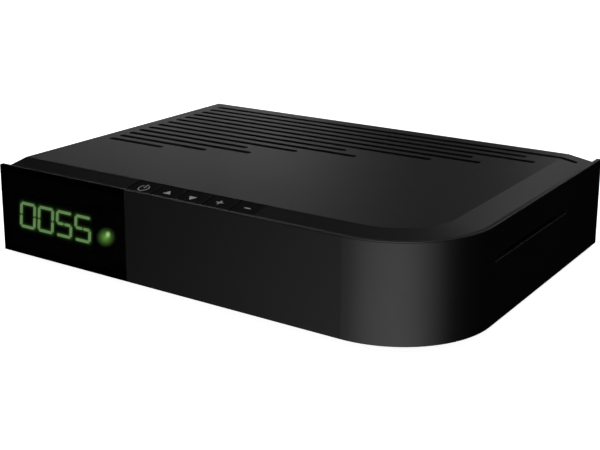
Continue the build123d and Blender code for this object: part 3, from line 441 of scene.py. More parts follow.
def metal(name, color, roughness, stretch=(1, 1, 1), grain=900.0, spread=0.18):
    """A bare metal whose roughness and colour follow a stretched grain, its edges brightened by wear and a painted
    highlight.
    """
    finish = Finish(name, color, Metallic=1.0)
    lines = finish.noise(grain, 3.0, 0.6, stretch)
    stains = finish.noise(STAINS, 4.0, 0.65)
    # Brighter edges: part wear, part a painted highlight.
    worn_and_highlit = finish.rubbed_and_highlit(RUB_AND_HIGHLIGHT_RADIUS / 2, 4.0)
    dull = [c * 0.7 for c in color]
    bright = [min(1.0, c * 1.25) for c in color]
    grained = finish.tint(dull, color, (lines * 0.6 + stains * 0.5).clamped())
    finish.give(Base_Color=finish.tint(grained, bright, worn_and_highlit * 0.6))
    finish.give(Roughness=roughness + (lines - 0.5) * spread + (stains - 0.5) * 0.12 - worn_and_highlit * 0.08)
    finish.bump(lines, 0.12, 0.02)
    return finish.material


METALS = {
    # colour, roughness, stretch of the grain, its waves to the metre, its spread in roughness
    "screw_steel": ((0.42, 0.42, 0.43), 0.32, (1, 1, 1), 1400.0),
    "tinned_steel": ((0.56, 0.56, 0.55), 0.34, (1, 12, 1), 500.0),
    "sink_aluminium": ((0.52, 0.52, 0.53), 0.40, (12, 1, 1), 500.0),
    "nickel": ((0.66, 0.64, 0.60), 0.20, (1, 1, 1), 700.0, 0.1),
    "contact_gold": ((0.83, 0.58, 0.22), 0.26, (1, 1, 1), 900.0, 0.1),
}
for name, recipe in METALS.items():
    finishes[name] = metal(name, *recipe)
print("metals", len(METALS))


# %% Lacquered board and flat cable
TRACK_CELLS, TRACK_STEP = 140.0, 0.12  # cells to the metre, and a track's share of a cell
WIRE_PITCH = 1.27


def lacquered_board():
    """Green solder mask with copper tracks under it."""
    finish = Finish("board_green", (0.01, 0.08, 0.03), Roughness=0.32, IOR=PLASTIC_IOR)
    kind = {"distance": "CHEBYCHEV", "feature": "F2"}
    sockets = {"Vector": finish.place(), "Scale": TRACK_CELLS, "Randomness": 0.7}
    cells = finish.add("ShaderNodeTexVoronoi", kind, sockets)
    tracks = cells.math("PINGPONG", cells, TRACK_STEP) / TRACK_STEP
    lacquer = finish.tint((0.006, 0.052, 0.02), (0.014, 0.10, 0.035), tracks)
    finish.give(Base_Color=lacquer, Roughness=0.26 + finish.noise(80.0, 3.0) * 0.14)
    finish.bump(tracks, 0.3, 0.03)
    return finish.material


def flat_cable():
    """Round wires side by side in grey plastic, with painted shade darkening the grooves between them."""
    finish = Finish("ribbon_grey", (0.34, 0.34, 0.36), IOR=PLASTIC_IOR)
    (across,) = finish.parts(finish.place(), "X")
    wires = across.math("SINE", across * (2 * math.pi / (WIRE_PITCH * MM))) * 0.5 + 0.5
    # Darker in the grooves between wires and lighter on their crests: painted shade.
    finish.give(Base_Color=finish.tint((0.24, 0.24, 0.26), (0.37, 0.37, 0.39), wires))
    finish.give(Roughness=0.42 + finish.noise(120.0, 3.0) * 0.12)
    finish.bump(wires, 0.6, 0.25)
    return finish.material


finishes["board_green"] = lacquered_board()
finishes["ribbon_grey"] = flat_cable()
print("finishes so far", len(finishes))

# %% [markdown]
# ## The smoked window
# The left end of the band is a separate panel, tinted so dark that it looks black until something
# behind it lights up. A little transparency does that: the shader's alpha lets the digits through
# and the polished face keeps its own faint reflections. Such windows are printed solid black along
# their edges, so that nobody looks past the display into the case. Here the print is the same
# alpha, raised to one where the nearest of the three free edges is close.

# %% Smoked window
WINDOW_ALPHA = 0.5  # what one face of the window keeps; light from behind passes two
WINDOW_BORDER, BORDER_FADE = 3.5, 1.5  # width in mm of the print, and of its soft inner rim
smoked = Finish("smoked_window", (0.0006, 0.0006, 0.0007), Specular_IOR_Level=0.1)
smears = smoked.noise(30.0, 3.0)
window_tall = (band_high.z - band_low.z) / MM
across, up = (part / MM for part in smoked.parts(smoked.place(shift=-band_low), "X", "Z"))
from_edge = across.math("MINIMUM", across, up)
from_edge = from_edge.math("MINIMUM", from_edge, window_tall - up)
printed = ((WINDOW_BORDER - from_edge) / BORDER_FADE).clamped()
smoked.give(Alpha=WINDOW_ALPHA + printed * (1 - WINDOW_ALPHA), Roughness=0.05 + smears * 0.05)
smoked.give(Base_Color=smoked.tint((0.0004, 0.0004, 0.0005), (0.0008, 0.0008, 0.0010), smears))
finishes["smoked_window"] = smoked.material
print("window alpha", WINDOW_ALPHA, "and its border", WINDOW_BORDER, "mm")

# %% [markdown]
# ## Lamps
# A lamp is a surface that sends out light of its own, a little unevenly, because its resin isn't
# quite clear. The lamp's case and the bars of the digits each get such a finish. The bars are
# paler: they are what the eye reads through the smoked plastic.

# %% Resin and bars
DISPLAY_LIGHT = 1.96
BLACK = (0.0, 0.0, 0.0)
GLOSS = (0.0015, 0.0015, 0.0017)  # what the unlit part of a lamp or film shows
resin = Finish("light_green", (0.02, 0.20, 0.015), Roughness=0.2, Emission_Strength=1.0)
glint = resin.noise(300.0, 2.0)
resin.give(Emission_Color=resin.tint((0.02, 0.26, 0.012), (0.05, 0.42, 0.03), glint))
resin.give(Base_Color=resin.tint((0.02, 0.18, 0.015), (0.03, 0.22, 0.02), glint))
finishes["light_green"] = resin.material

bar_light = Finish("bar_light", BLACK, Roughness=0.6, Emission_Strength=DISPLAY_LIGHT)
uneven = bar_light.noise(260.0)
bar_light.give(Emission_Color=bar_light.tint((0.20, 0.385, 0.14), (0.275, 0.485, 0.19), uneven))
print("finishes for the model's own pieces", len(finishes))

# %% [markdown]
# ## Dressing the model
# The record says which finish each node is made for, so the nodes are dressed from that list.
# Their meshes stay as they are.

# %% Dress the model's own pieces
slot_of = {part["node"]: part["material_slot"] for part in frame["record"]["subparts"]}
for name, node in nodes.items():
    node.data.materials.clear()
    node.data.materials.append(finishes[slot_of[name]])
print("dressed", len(nodes), "nodes in", len(set(slot_of.values())), "finishes")

# %% [markdown]
# ## The lit digits
# The display shows four digits, each made of straight bars with pointed ends that lean to the
# right. There are three kinds of bar: long and half ones lie, short ones stand. Each kind is
# modelled once, by bevelling the corners of a thin block. Its copies are laid along the sides of a
# slanted figure eight, and each digit uses the bars it needs. Bars stop short of each other, as
# the segments of such a display do.

# %% Measures of a digit
DIGIT_WIDE, DIGIT_TALL = 8.4, 10.85  # between the middles of opposite bars
DIGIT_FIRST, DIGIT_PITCH, DIGIT_UP = 14.85, 11.2, 18.1
DIGIT_LEAN = math.tan(math.radians(5.7))
LYING_WIDTH, STANDING_WIDTH, BAR_THICK = 1.24, 1.44, 0.24
BAR_BACK = 1.25  # middle of the bars, between the window's back and the display's face
BAR_SHORT = 0.28 * math.sqrt(2)  # what a bar leaves free of its side, so that corners don't touch

BAR_KINDS = {
    # length and width
    "long": (DIGIT_WIDE - BAR_SHORT, LYING_WIDTH),
    "half": (DIGIT_WIDE / 2 - BAR_SHORT, LYING_WIDTH),
    "standing": (DIGIT_TALL / 2 - BAR_SHORT, STANDING_WIDTH),
}
BARS = {
    # middle across and up, and kind
    "top": (0, DIGIT_TALL / 2, "long"),
    "bottom": (0, -DIGIT_TALL / 2, "long"),
    "middle_left": (-DIGIT_WIDE / 4, 0, "half"),
    "middle_right": (DIGIT_WIDE / 4, 0, "half"),
    "upper_left": (-DIGIT_WIDE / 2, DIGIT_TALL / 4, "standing"),
    "upper_right": (DIGIT_WIDE / 2, DIGIT_TALL / 4, "standing"),
    "lower_left": (-DIGIT_WIDE / 2, -DIGIT_TALL / 4, "standing"),
    "lower_right": (DIGIT_WIDE / 2, -DIGIT_TALL / 4, "standing"),
}
ZERO = ("top", "bottom", "upper_left", "upper_right", "lower_left", "lower_right")
FIVE = ("top", "upper_left", "middle_left", "middle_right", "lower_right", "bottom")
print("bars in a zero", len(ZERO), "and in a five", len(FIVE))

# %% One bar of each kind
BAR_POINT, BAR_EASE = 0.46, 0.06  # share of the width cut off a corner, and the front's ease


def bar(length, width):
    """A bar with pointed ends, lying along X, its front edges eased."""
    add_box((length, BAR_THICK, width))
    begin_edit()
    pick_edges(lambda at, along: abs(along.y) > ALONG)
    bevel(width * BAR_POINT, 1)
    pick_edges(lambda at, along: at.y < -BAR_THICK / 2 * MM + NEAR / 4)
    bevel(BAR_EASE, 1)
    return end_edit()


patterns = {kind: bar(*size) for kind, size in BAR_KINDS.items()}
print("bar lengths", [round(length, 2) for length, width in BAR_KINDS.values()])

# %% Four digits
GLOW_SHORT = 0.4  # share of a bar's width by which its shining line stops before each end
lean = Matrix(((1, 0, DIGIT_LEAN, 0), (0, 1, 0, 0), (0, 0, 1, 0), (0, 0, 0, 1)))
quarter = Matrix.Rotation(math.pi / 2, 4, "Y")
glow_lines = []  # for every bar, the two ends of its middle line, and half its width in mm
for number, shape in enumerate((ZERO, ZERO, FIVE, FIVE)):
    middle = spot(DIGIT_FIRST + DIGIT_PITCH * number, BAR_BACK, DIGIT_UP)
    bars = []
    for key in shape:
        across, up, kind = BARS[key]
        length, width = BAR_KINDS[kind]
        laid = Matrix.Translation(Vector((across, 0, up)) * MM)
        laid = laid @ quarter if kind == "standing" else laid
        laid = Matrix.Translation(middle) @ lean @ laid
        bars.append(copied(patterns[kind]))
        bars[-1].data.transform(laid)
        reach = Vector(((length / 2 - width * GLOW_SHORT) * MM, 0, 0))
        glow_lines.append(((laid @ reach).xz, (laid @ -reach).xz, width / 2))
    name = f"digit_{number + 1}"
    finish_piece(joined(bars), name, "receiver", bar_light.material)
for pattern in patterns.values():
    bpy.data.objects.remove(pattern)

# %% [markdown]
# ## Light that spreads round the bars
# Light creeps sideways in the film over a display, so a soft green edge follows every bar. It
# could be faked with blur after rendering, but that would stay behind on the screen. Here it
# belongs to the object: a thin film with a value stored at each point, worked out from how far
# the bars are. The film is a fine grid, so that the values are close enough to look smooth.

# %% Film over the display
FILM_WIDE, FILM_TALL, FILM_CELL = 47.6, 18.6, 0.25
FILM_LIFT, FILM_EDGE = 0.02, 0.3  # off the display's face, and its rim's way back round it
FACING_FRONT = (math.pi / 2, 0, 0)  # turns what looks up, so that it looks forward
film_middle = middle_of("digit_display")
film_middle.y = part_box("digit_display")[0].y - FILM_LIFT * MM
bpy.ops.object.select_all(action="DESELECT")
bpy.ops.mesh.primitive_grid_add(
    x_subdivisions=round(FILM_WIDE / FILM_CELL),
    y_subdivisions=round(FILM_TALL / FILM_CELL),
    size=1,
    location=film_middle,
    rotation=FACING_FRONT,
)
film = bpy.context.object
film.scale = (FILM_WIDE * MM, FILM_TALL * MM, 1)
settle(film)
begin_edit("EDGE")
bpy.ops.mesh.select_non_manifold()
extrude(0, FILM_EDGE, 0)
end_edit()
print("film points", len(film.data.vertices))

# %% Glow stored in the film
GLOW_FADE = 0.4  # distance in mm over which the glow falls to a third


def glow_at(point):
    """How much light reaches a point of the film from all the bars."""
    total = 0.0
    for start, end, half in glow_lines:
        foot, share = intersect_point_line(point, start, end)
        foot = start.lerp(end, min(1.0, max(0.0, share)))
        away = (point - foot.to_2d()).length / MM - half
        total += math.exp(-max(0.0, away) / GLOW_FADE)
    return min(1.0, total)


glow = film.data.attributes.new("glow", "FLOAT", "POINT")
glow.data.foreach_set("value", [glow_at(vertex.co.xz) for vertex in film.data.vertices])
haze = Finish("display_film", GLOSS, Roughness=0.42, IOR=PLASTIC_IOR)
haze.give(Emission_Strength=DISPLAY_LIGHT)
stored = haze.add("ShaderNodeAttribute", {"attribute_name": "glow"}, output="Fac")
stored = stored * (0.9 + haze.noise(200.0) * 0.2)
haze.give(Emission_Color=haze.tint(BLACK, (0.036, 0.105, 0.02), stored))
finish_piece(film, "display_film", "receiver", haze.material)

# %% [markdown]
# ## The status light
# The green lamp sits behind the smoked plastic, which scatters its light into a round haze. A thin
# disc just under the window's face carries that haze: bright in the middle and fading to nothing at
# its rim. A paler spot up and to the right is a painted highlight, the reflection of the lamp's dome,
# and makes the haze look like a bead. It is a disc of one millimetre, spread by a matrix into a
# leaning oval, and the haze is spread by the same measures.

# %% Bead of light
BEAD_AT = spot(62.25, 0.9, 17.1)
BEAD_WIDE, BEAD_TALL, BEAD_LEAN = 5.9, 4.75, 0.24  # half axes, and rise to the right
BEAD_THICK = 0.04
bead = add_disc(1.0, 64, FACING_FRONT)
begin_edit()
bpy.ops.mesh.select_all(action="SELECT")
extrude(0, BEAD_THICK, 0)
pick_faces(lambda at, normal: abs(normal.y) > ALONG and at.y < NEAR)
for ring_width in (0.35, 0.3):
    inset(ring_width)
face_outwards()
end_edit()
rise = BEAD_LEAN * BEAD_WIDE
spread = Matrix(((BEAD_WIDE, 0, 0, 0), (0, 1, 0, 0), (rise, 0, BEAD_TALL, 0), (0, 0, 0, 1)))
bead.data.transform(Matrix.Translation(BEAD_AT) @ spread)
print("bead over", 2 * BEAD_WIDE, "by", 2 * BEAD_TALL, "mm")

# %% Haze and painted highlight
# The painted highlight: a paler spot that stands for the reflection of the lamp's dome.
PAINTED_HIGHLIGHT_AT, PAINTED_HIGHLIGHT_SIZE = spot(63.5, 0.9, 18.5), 1.7
halo = Finish("status_glow", GLOSS, Roughness=0.42, IOR=PLASTIC_IOR, Emission_Strength=1.4)


def bead_fade(centre, wide, tall):
    """Light that falls from 1 at a centre to 0 at the rim of a leaning oval."""
    scale = Vector((1 / wide, 0, 1 / tall)) / MM
    shift = Vector([-c * k for c, k in zip(centre, scale)])
    across, up = halo.parts(halo.place(scale, shift), "X", "Z")
    up = up - across * (BEAD_LEAN * wide / tall)
    return (1 - (across * across + up * up) ** 0.5).clamped()


fade = bead_fade(BEAD_AT, BEAD_WIDE, BEAD_TALL) ** 1.8
green = halo.tint(BLACK, (0.18, 0.45, 0.075), fade)
painted_highlight = bead_fade(PAINTED_HIGHLIGHT_AT, PAINTED_HIGHLIGHT_SIZE, PAINTED_HIGHLIGHT_SIZE)
# A paler green spot painted over the haze as a highlight.
halo.give(Emission_Color=halo.tint(green, (0.55, 0.95, 0.36), painted_highlight * 0.95))
finish_piece(bead, "status_glow", "receiver", halo.material)

# %% [markdown]
# ## The printed key signs
# Each key carries a pale printed sign. A ring with a gap and a bar, two triangles, a plus and a
# minus are each cut from a flat primitive, thickened by a few hundredths of a millimetre and laid
# on the slope. They ride with their own keys, so they go down when a key is pressed.

# %% Ink and the slope it lies on
SLOPE = math.atan2(2.3, 13.2)
SLOPE_BACK, SLOPE_UP = 2.2, 37.9  # where the slope's front edge runs
INK_LIFT, INK_THICK = 0.012, 0.03
ink = moulded("sign_ink", (0.34, 0.34, 0.345), 0.6, 3000.0, 0.01, 0.1, 0.2, 0.1)


def thicken(piece):
    """Gives a flat outline the thickness of printing ink."""
    take(piece)
    begin_edit()
    bpy.ops.mesh.select_all(action="SELECT")
    extrude(0, 0, INK_THICK)
    face_outwards()
    return end_edit()


def lay_sign(piece, name, across, back):
    """Thickens a flat sign, tilts it to the slope and sets it on its key."""
    thicken(piece)
    up = SLOPE_UP + (back - SLOPE_BACK) * math.tan(SLOPE) + INK_LIFT
    place = Matrix.Translation(spot(across, back, up))
    piece.data.transform(place @ Matrix.Rotation(SLOPE, 4, "X"))
    finish_piece(piece, f"{name}_sign", f"{name}_button", ink)


print("the keys' slope rises", round(math.degrees(SLOPE), 1), "degrees")

# %% Standby sign
RING_OUT, RING_IN, RING_GAP = 2.6, 2.15, 0.62  # radii in mm, half the gap in radians
RING_STRETCH = (0.95, 1.08, 1)
STEM_WIDE, STEM_LONG = 0.5, 3.3
ring = add_disc(RING_OUT, 48)
begin_edit()
bpy.ops.mesh.select_all(action="SELECT")
inset(RING_OUT - RING_IN)
bpy.ops.mesh.delete(type="FACE")
pick_faces(lambda at, normal: at.y > 0 and abs(at.x) < RING_OUT * math.sin(RING_GAP) * MM)
bpy.ops.mesh.delete(type="FACE")
end_edit()
ring.scale = RING_STRETCH
stem = add_plate(STEM_WIDE, STEM_LONG, (0, STEM_LONG / 2 * MM, 0))
lay_sign(joined([stem, settle(ring)]), "standby", 76.95, 9.3)


# %% Shapes of the other signs
STROKE_EASE, STROKE_LIMIT = 0.12, 0.49  # a corner's share of the width, and at most of the span


def stroke(span, width):
    """A flat stroke with eased corners."""
    add_plate(span, width)
    begin_edit("VERT")
    bpy.ops.mesh.select_all(action="SELECT")
    ease = min(width * STROKE_EASE, span * STROKE_LIMIT)
    bpy.ops.mesh.bevel(offset=ease * MM, segments=2, affect="VERTICES")
    return end_edit()


def triangle(width, height, points_back):
    """A solid triangle on its middle."""
    turn = 0 if points_back else math.pi
    piece = add_disc(1.0, 3, (0, 0, turn))
    piece.scale = (width / math.sqrt(3), height / 1.5, 1)
    return settle(piece)


def plus_sign(span, width):
    """A cross drawn out of its middle square, one arm to each side."""
    piece = add_plate(width, width)
    arm = (span - width) / 2
    for out in (Vector((1, 0, 0)), Vector((0, 1, 0)), Vector((-1, 0, 0)), Vector((0, -1, 0))):
        begin_edit("EDGE")
        pick_edges(lambda at, along: (at - out * width / 2 * MM).length < NEAR)
        extrude(*(out * arm))
        end_edit()
    return piece


# %% Triangles, plus and minus
SIGNS = {
    # the flat shape, then its place across and back
    "up": (triangle(3.9, 2.9, True), 90.0, 9.27),
    "down": (triangle(3.9, 2.95, False), 102.65, 9.37),
    "plus": (plus_sign(3.4, 0.62), 116.2, 10.1),
    "minus": (stroke(2.9, 0.75), 129.95, 10.05),
}
for name, (flat, across, back) in SIGNS.items():
    lay_sign(flat, name, across, back)

# %% [markdown]
# ## The ends of the card mouth
# A card goes in more easily where the mouth's ends slope down into it, so that it may arrive a
# little askew. One end is a small block whose outer edge on the mouth's side is drawn away from
# the mouth, which leaves a ramp; the other end is its mirror image.

# %% Ramps at the two ends
MOUTH_MIDDLE, MOUTH_HALF, MOUTH_EDGE = 81.0, 37.4, 0.33  # back, half its length, play at its ends
MOUTH_UP, MOUTH_TALL, MOUTH_DEEP = 26.3, 2.48, 0.8
RAMP_LONG, RAMP_SHY = 1.5, 0.02  # along the mouth, and what it stays short of the mouth's depth
block_long = RAMP_LONG + MOUTH_EDGE
ramps = []
for side in (1, -1):
    back = MOUTH_MIDDLE + side * (MOUTH_HALF + MOUTH_EDGE - block_long / 2)
    middle = spot(BAND_WIDE - MOUTH_DEEP / 2, back, MOUTH_UP)
    inner = middle.y - side * block_long / 2 * MM
    add_box((MOUTH_DEEP - RAMP_SHY, block_long, MOUTH_TALL), middle)
    begin_edit()
    pick_edges(
        lambda at, along: at.x > middle.x and abs(at.y - inner) < NEAR and abs(along.z) > ALONG
    )
    bpy.ops.transform.translate(value=(0, side * RAMP_LONG * MM, 0))
    ramps.append(end_edit())
gloss = finishes["gloss_black"]
finish_piece(joined(ramps), "card_mouth_ramps", "receiver", gloss)

# %% [markdown]
# ## Threaded aerial sockets
# A dish cable screws on to a fine thread. The model for making has a plain barrel there. A neck
# is turned, drawn out to the barrel and bored; the thread is a three-cornered wire wound round it
# by the Screw modifier, which turns and lifts its profile at once. The barrel lies along Y with
# its mouth at the origin until it is copied to its places.

# %% Barrel drawn out of its neck
NECK_RADIUS, NECK_LONG = 4.4, 4.6
BARREL_RADIUS, BARREL_LONG = 4.2, 10.4
BORE_RADIUS, BORE_DEEP = 3.6, 14.2
RIM_ROUND = 0.15
neck_middle = (0, -(BARREL_LONG + NECK_LONG / 2) * MM, 0)
barrel = add_rod(NECK_RADIUS, NECK_LONG, 40, neck_middle, FACING_FRONT)
begin_edit()
pick_faces(lambda at, normal: normal.y > ALONG)
inset(NECK_RADIUS - BARREL_RADIUS)
extrude(0, BARREL_LONG, 0)
inset(BARREL_RADIUS - BORE_RADIUS)
extrude(0, -BORE_DEEP, 0)
pick_edges(lambda at, along: at.y > -NEAR and abs(along.dot(at.normalized())) < 0.5)
bevel(RIM_ROUND)
end_edit()
print("barrel faces", len(barrel.data.polygons))

# %% Thread wound round it
THREAD_RADIUS, THREAD_PROFILE = 4.7625, 0.5
THREAD_PITCH, THREAD_TURNS, THREAD_STEPS = 0.794, 11, 20
bpy.ops.object.select_all(action="DESELECT")
bpy.ops.mesh.primitive_circle_add(
    vertices=3, radius=THREAD_PROFILE * MM, rotation=(0, 0, -math.pi / 2)
)
thread = settle(bpy.context.object)
thread_start = Vector((THREAD_RADIUS - THREAD_PROFILE, -BARREL_LONG + THREAD_PROFILE, 0))
thread.data.transform(Matrix.Translation(thread_start * MM))
winding = thread.modifiers.new("winding", "SCREW")
winding.axis, winding.screw_offset, winding.iterations = "Y", THREAD_PITCH * MM, THREAD_TURNS
winding.steps = winding.render_steps = THREAD_STEPS
apply_modifiers(thread)
begin_edit("EDGE")
bpy.ops.mesh.select_non_manifold()
bpy.ops.mesh.edge_face_add()
face_outwards()
end_edit()
barrel = joined([thread, barrel])
print("faces with the thread", len(barrel.data.polygons))

# %% Set the barrels in the panel
nickel = finishes["nickel"]
AERIALS = ("aerial_input", "aerial_output")
for node in AERIALS:
    mouth = middle_of(node)
    mouth.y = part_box(node)[1].y
    twin = copied(barrel, mouth)
    finish_piece(twin, f"{node}_barrel", "receiver", nickel, (node,), angle=50)
bpy.data.objects.remove(barrel)

# %% [markdown]
# ## Nuts and screws
# A bought nut has its corners turned off on a cone, so a six-sided bar is kept only where it
# meets a cone, then drilled. A screw is one round head with its shank drawn out of it; two
# tapered cutters leave the cross that a driver fits. Each is made once and copied.

# %% Nuts of the aerial sockets
NUT_FLATS, NUT_THICK, NUT_BORE, NUT_EASE = 12.7, 2.2, 4.45, 0.25
CONE_WIDE, CONE_NARROW = 9.4, 6.25  # radii of the cone that takes the corners off
FACING_BACK, FACING_DOWN = (-math.pi / 2, 0, 0), (math.pi, 0, 0)
nut_middle = (0, NUT_THICK / 2 * MM, 0)
nut = add_rod(NUT_FLATS / math.sqrt(3), NUT_THICK, 6, nut_middle, (math.pi / 2, math.pi / 6, 0))
bpy.ops.object.select_all(action="DESELECT")
bpy.ops.mesh.primitive_cone_add(
    vertices=64,
    radius1=CONE_WIDE * MM,
    radius2=CONE_NARROW * MM,
    depth=NUT_THICK * MM,
    location=nut_middle,
    rotation=FACING_BACK,
)
cut(nut, settle(bpy.context.object), "INTERSECT")
cut(nut, add_rod(NUT_BORE, NUT_THICK * 3, 40, (0, 0, 0), FACING_FRONT))
begin_edit("EDGE")
nut_face, bore_rim = NUT_THICK * MM - NEAR, NUT_BORE * MM + NEAR * 10
pick_edges(lambda at, along: at.y > nut_face and at.length < math.hypot(nut_face, bore_rim))
bevel(NUT_EASE, 1)
end_edit()
nut_places = [middle_of(node) for node in AERIALS]
for place in nut_places:
    place.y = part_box("aerial_nuts")[0].y
nuts = copies(nut, nut_places)
finish_piece(nuts, "socket_nuts", "receiver", nickel, ("aerial_nuts",), angle=20)

# %% A cross-headed screw
HEAD_ROUND = 0.35  # share of the head's height
TIP_INSET, TIP_LONG = 0.45, 0.4  # share of the shank's radius, and length in mm
CROSS_LONG, CROSS_WIDE, CROSS_DEEP = 1.15, 0.26, 1.3  # shares of the head's radius and height
CROSS_TAPER = (0.45, 0.7, 1)


def cross_screw(head, head_deep, shank, length):
    """A screw on Z: its head's face at zero, looking up, and its shank below."""
    screw = add_rod(head, head_deep, 32, (0, 0, -head_deep / 2 * MM))
    begin_edit()
    pick_faces(lambda at, normal: normal.z < -ALONG)
    inset(head - shank)
    extrude(0, 0, -length)
    inset(shank * TIP_INSET)
    extrude(0, 0, -TIP_LONG)
    pick_edges(lambda at, along: at.z > -NEAR)
    bevel(head_deep * HEAD_ROUND, 3)
    end_edit()
    for turn in (0, math.pi / 2):
        arm = add_box((head * CROSS_LONG, head * CROSS_WIDE, head_deep * CROSS_DEEP))
        begin_edit()
        pick_faces(lambda at, normal: normal.z < -ALONG)
        foot = (0, 0, -head_deep * CROSS_DEEP / 2 * MM)
        bpy.ops.transform.resize(value=CROSS_TAPER, center_override=foot)
        end_edit()
        arm.data.transform(Matrix.Rotation(turn, 4, "Z"))
        cut(screw, arm)
    return screw


# %% Screws of the panel and the base
steel = finishes["screw_steel"]
REAR_SCREWS = [
    spot(125.4375, PANEL_BACK, 19.6),
    spot(180.1375, PANEL_BACK, 19.6),
    spot(69.975, PANEL_BACK, 21.3),
]
CASE_SCREWS = [spot(6, 36, 4), spot(6, 116, 4), spot(206, 36, 4), spot(206, 132, 4)]
rear_row = copies(cross_screw(2.2, 1.5, 1.15, 8.6), REAR_SCREWS, FACING_BACK)
finish_piece(rear_row, "panel_screws", "receiver", steel, ("rear_screws",))
case_row = copies(cross_screw(2.8, 2.0, 1.45, 13.6), CASE_SCREWS, FACING_DOWN)
finish_piece(case_row, "base_screws", "receiver", steel, ("case_screws",))

# %% [markdown]
# ## Feet
# A rubber foot is a low pad with cut corners, rounded where it meets the table, and hollowed a
# little so that it grips. One pad is shaped and copied to the four places; the one by the rounded
# corner of the case stands further in.

# %% Rubber feet
FOOT_WIDE, FOOT_LONG, FOOT_CORNER, FOOT_ROUND = 18.0, 9.0, 2.0, 0.5
HOLLOW_RIM, HOLLOW_DEEP = 1.3, 0.5
FOOT_STEP = 10.0  # how far in the one by the rounded corner stands
FOOT_LIFT = 0.001  # a hair, so that rounding doesn't put the pads below the table
feet_low, feet_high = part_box("rubber_feet")
foot_tall = (feet_high.z - feet_low.z) / MM
foot = add_box((FOOT_WIDE, FOOT_LONG, foot_tall), (0, 0, foot_tall / 2 * MM))
begin_edit()
pick_edges(lambda at, along: abs(along.z) > ALONG)
bevel(FOOT_CORNER, 1)
pick_edges(lambda at, along: at.z < NEAR)
bevel(FOOT_ROUND, 3)
pick_faces(lambda at, normal: normal.z < -ALONG)
inset(HOLLOW_RIM)
extrude(0, 0, HOLLOW_DEEP)
end_edit()
left, right = feet_low.x + FOOT_WIDE / 2 * MM, feet_high.x - FOOT_WIDE / 2 * MM
fore, aft = feet_low.y + FOOT_LONG / 2 * MM, feet_high.y - FOOT_LONG / 2 * MM
foot_places = [(left, fore), (right - FOOT_STEP * MM, fore), (left, aft), (right, aft)]
pads = copies(foot, [Vector((x, y, feet_low.z + FOOT_LIFT * MM)) for x, y in foot_places])
rubber = finishes["foot_rubber"]
finish_piece(pads, "foot_pads", "receiver", rubber, ("rubber_feet",))

# %% [markdown]
# ## Contacts in the rear sockets
# Look into a socket and there is gold: springs in the slots of the wide one, strips on the
# tongues of the narrow ones. The model for making stops at the plastic. Each kind of contact is
# shaped once and copied along its row.

# %% One contact
CONTACT_EASE = 0.2  # share of its thinner side
TIP_TAPER = (0.7, 1, 0.5)


def contact(wide, long, thick):
    """A strip along Y with eased edges and a chamfered tip, its back end at the origin."""
    add_box((wide, long, thick), (0, -long / 2 * MM, 0))
    begin_edit()
    pick_edges(lambda at, along: abs(along.y) > ALONG)
    bevel(min(wide, thick) * CONTACT_EASE, 1)
    pick_faces(lambda at, normal: normal.y > ALONG)
    extrude(0, thick / 2, 0)
    bpy.ops.transform.resize(value=TIP_TAPER, center_override=(0, thick / 2 * MM, 0))
    return end_edit()


# %% Rows of contacts
CONTACT_BACK = 157.2
SCART_MIDDLE, SCART_UP, SCART_ROW, SCART_PITCH = 152.7875, 19.6, 1.8, 3.81
HDMI_MIDDLE, HDMI_TOP, HDMI_BOTTOM = 95.1125, 12.9, 10.9
USB_MIDDLE, USB_UP, USB_STEPS = 112.85, 11.5, (-3.5, -1.0, 1.0, 3.5)


def row_of(count, middle, up, pitch=1.0):
    """Places in a row, evenly spaced about its middle."""
    steps = [i - (count - 1) / 2 for i in range(count)]
    return [spot(middle + step * pitch, CONTACT_BACK, up) for step in steps]


upper = row_of(10, SCART_MIDDLE - SCART_PITCH / 4, SCART_UP + SCART_ROW, SCART_PITCH)
lower = row_of(10, SCART_MIDDLE + SCART_PITCH / 4, SCART_UP - SCART_ROW, SCART_PITCH)
hdmi_places = row_of(10, HDMI_MIDDLE, HDMI_TOP) + row_of(9, HDMI_MIDDLE, HDMI_BOTTOM)
usb_places = [spot(USB_MIDDLE + step, CONTACT_BACK, USB_UP) for step in USB_STEPS]
CONTACTS = {
    # width, length and thickness, and the places
    "scart_springs": ((0.5, 4.5, 1.6), upper + lower),
    "hdmi_strips": ((0.45, 4.5, 0.14), hdmi_places),
    "usb_strips": ((1.1, 5.0, 0.16), usb_places),
}
gold = finishes["contact_gold"]
for name, (size, places) in CONTACTS.items():
    finish_piece(copies(contact(*size), places), name, "receiver", gold)

# %% [markdown]
# ## Marks on the rocker
# A power rocker tells its two sides by a line and a ring, printed in white. They are the key
# signs' method again, but the two halves of the rocker face different ways, so each mark gets a
# small frame of its own: across, up the face, and out of it.

# %% Line and ring
LINE_WIDE, LINE_LONG = 0.7, 3.0
MARK_RADIUS, MARK_LINE = 1.6, 0.45
(rocker_joint,) = (joint for joint in frame["joints"] if joint["name"] == "rocker_tilt")
rocker_pivot = Vector(rocker_joint["pos_m"])
MARKS = {
    # from the pivot to the mark's middle in mm, and the way out of the face
    "on": (Vector((0, 5.866, 4.741)), Vector((0, 0.9957, -0.0926))),
    "off": (Vector((0, 7.133, -2.448)), Vector((0, 0.904, 0.4277))),
}
off_ring = add_disc(MARK_RADIUS, 40)
begin_edit()
bpy.ops.mesh.select_all(action="SELECT")
inset(MARK_LINE)
bpy.ops.mesh.delete(type="FACE")
end_edit()
for name, flat in (("on", stroke(LINE_WIDE, LINE_LONG)), ("off", off_ring)):
    offset, out = MARKS[name]
    across = Vector((-1, 0, 0))
    turn = Matrix((across, out.cross(across), out)).transposed().to_4x4()
    place = Matrix.Translation(rocker_pivot + (offset + out * INK_LIFT) * MM)
    mark = thicken(flat)
    mark.data.transform(place @ turn)
    finish_piece(mark, f"rocker_{name}_mark", "rocker", ink)

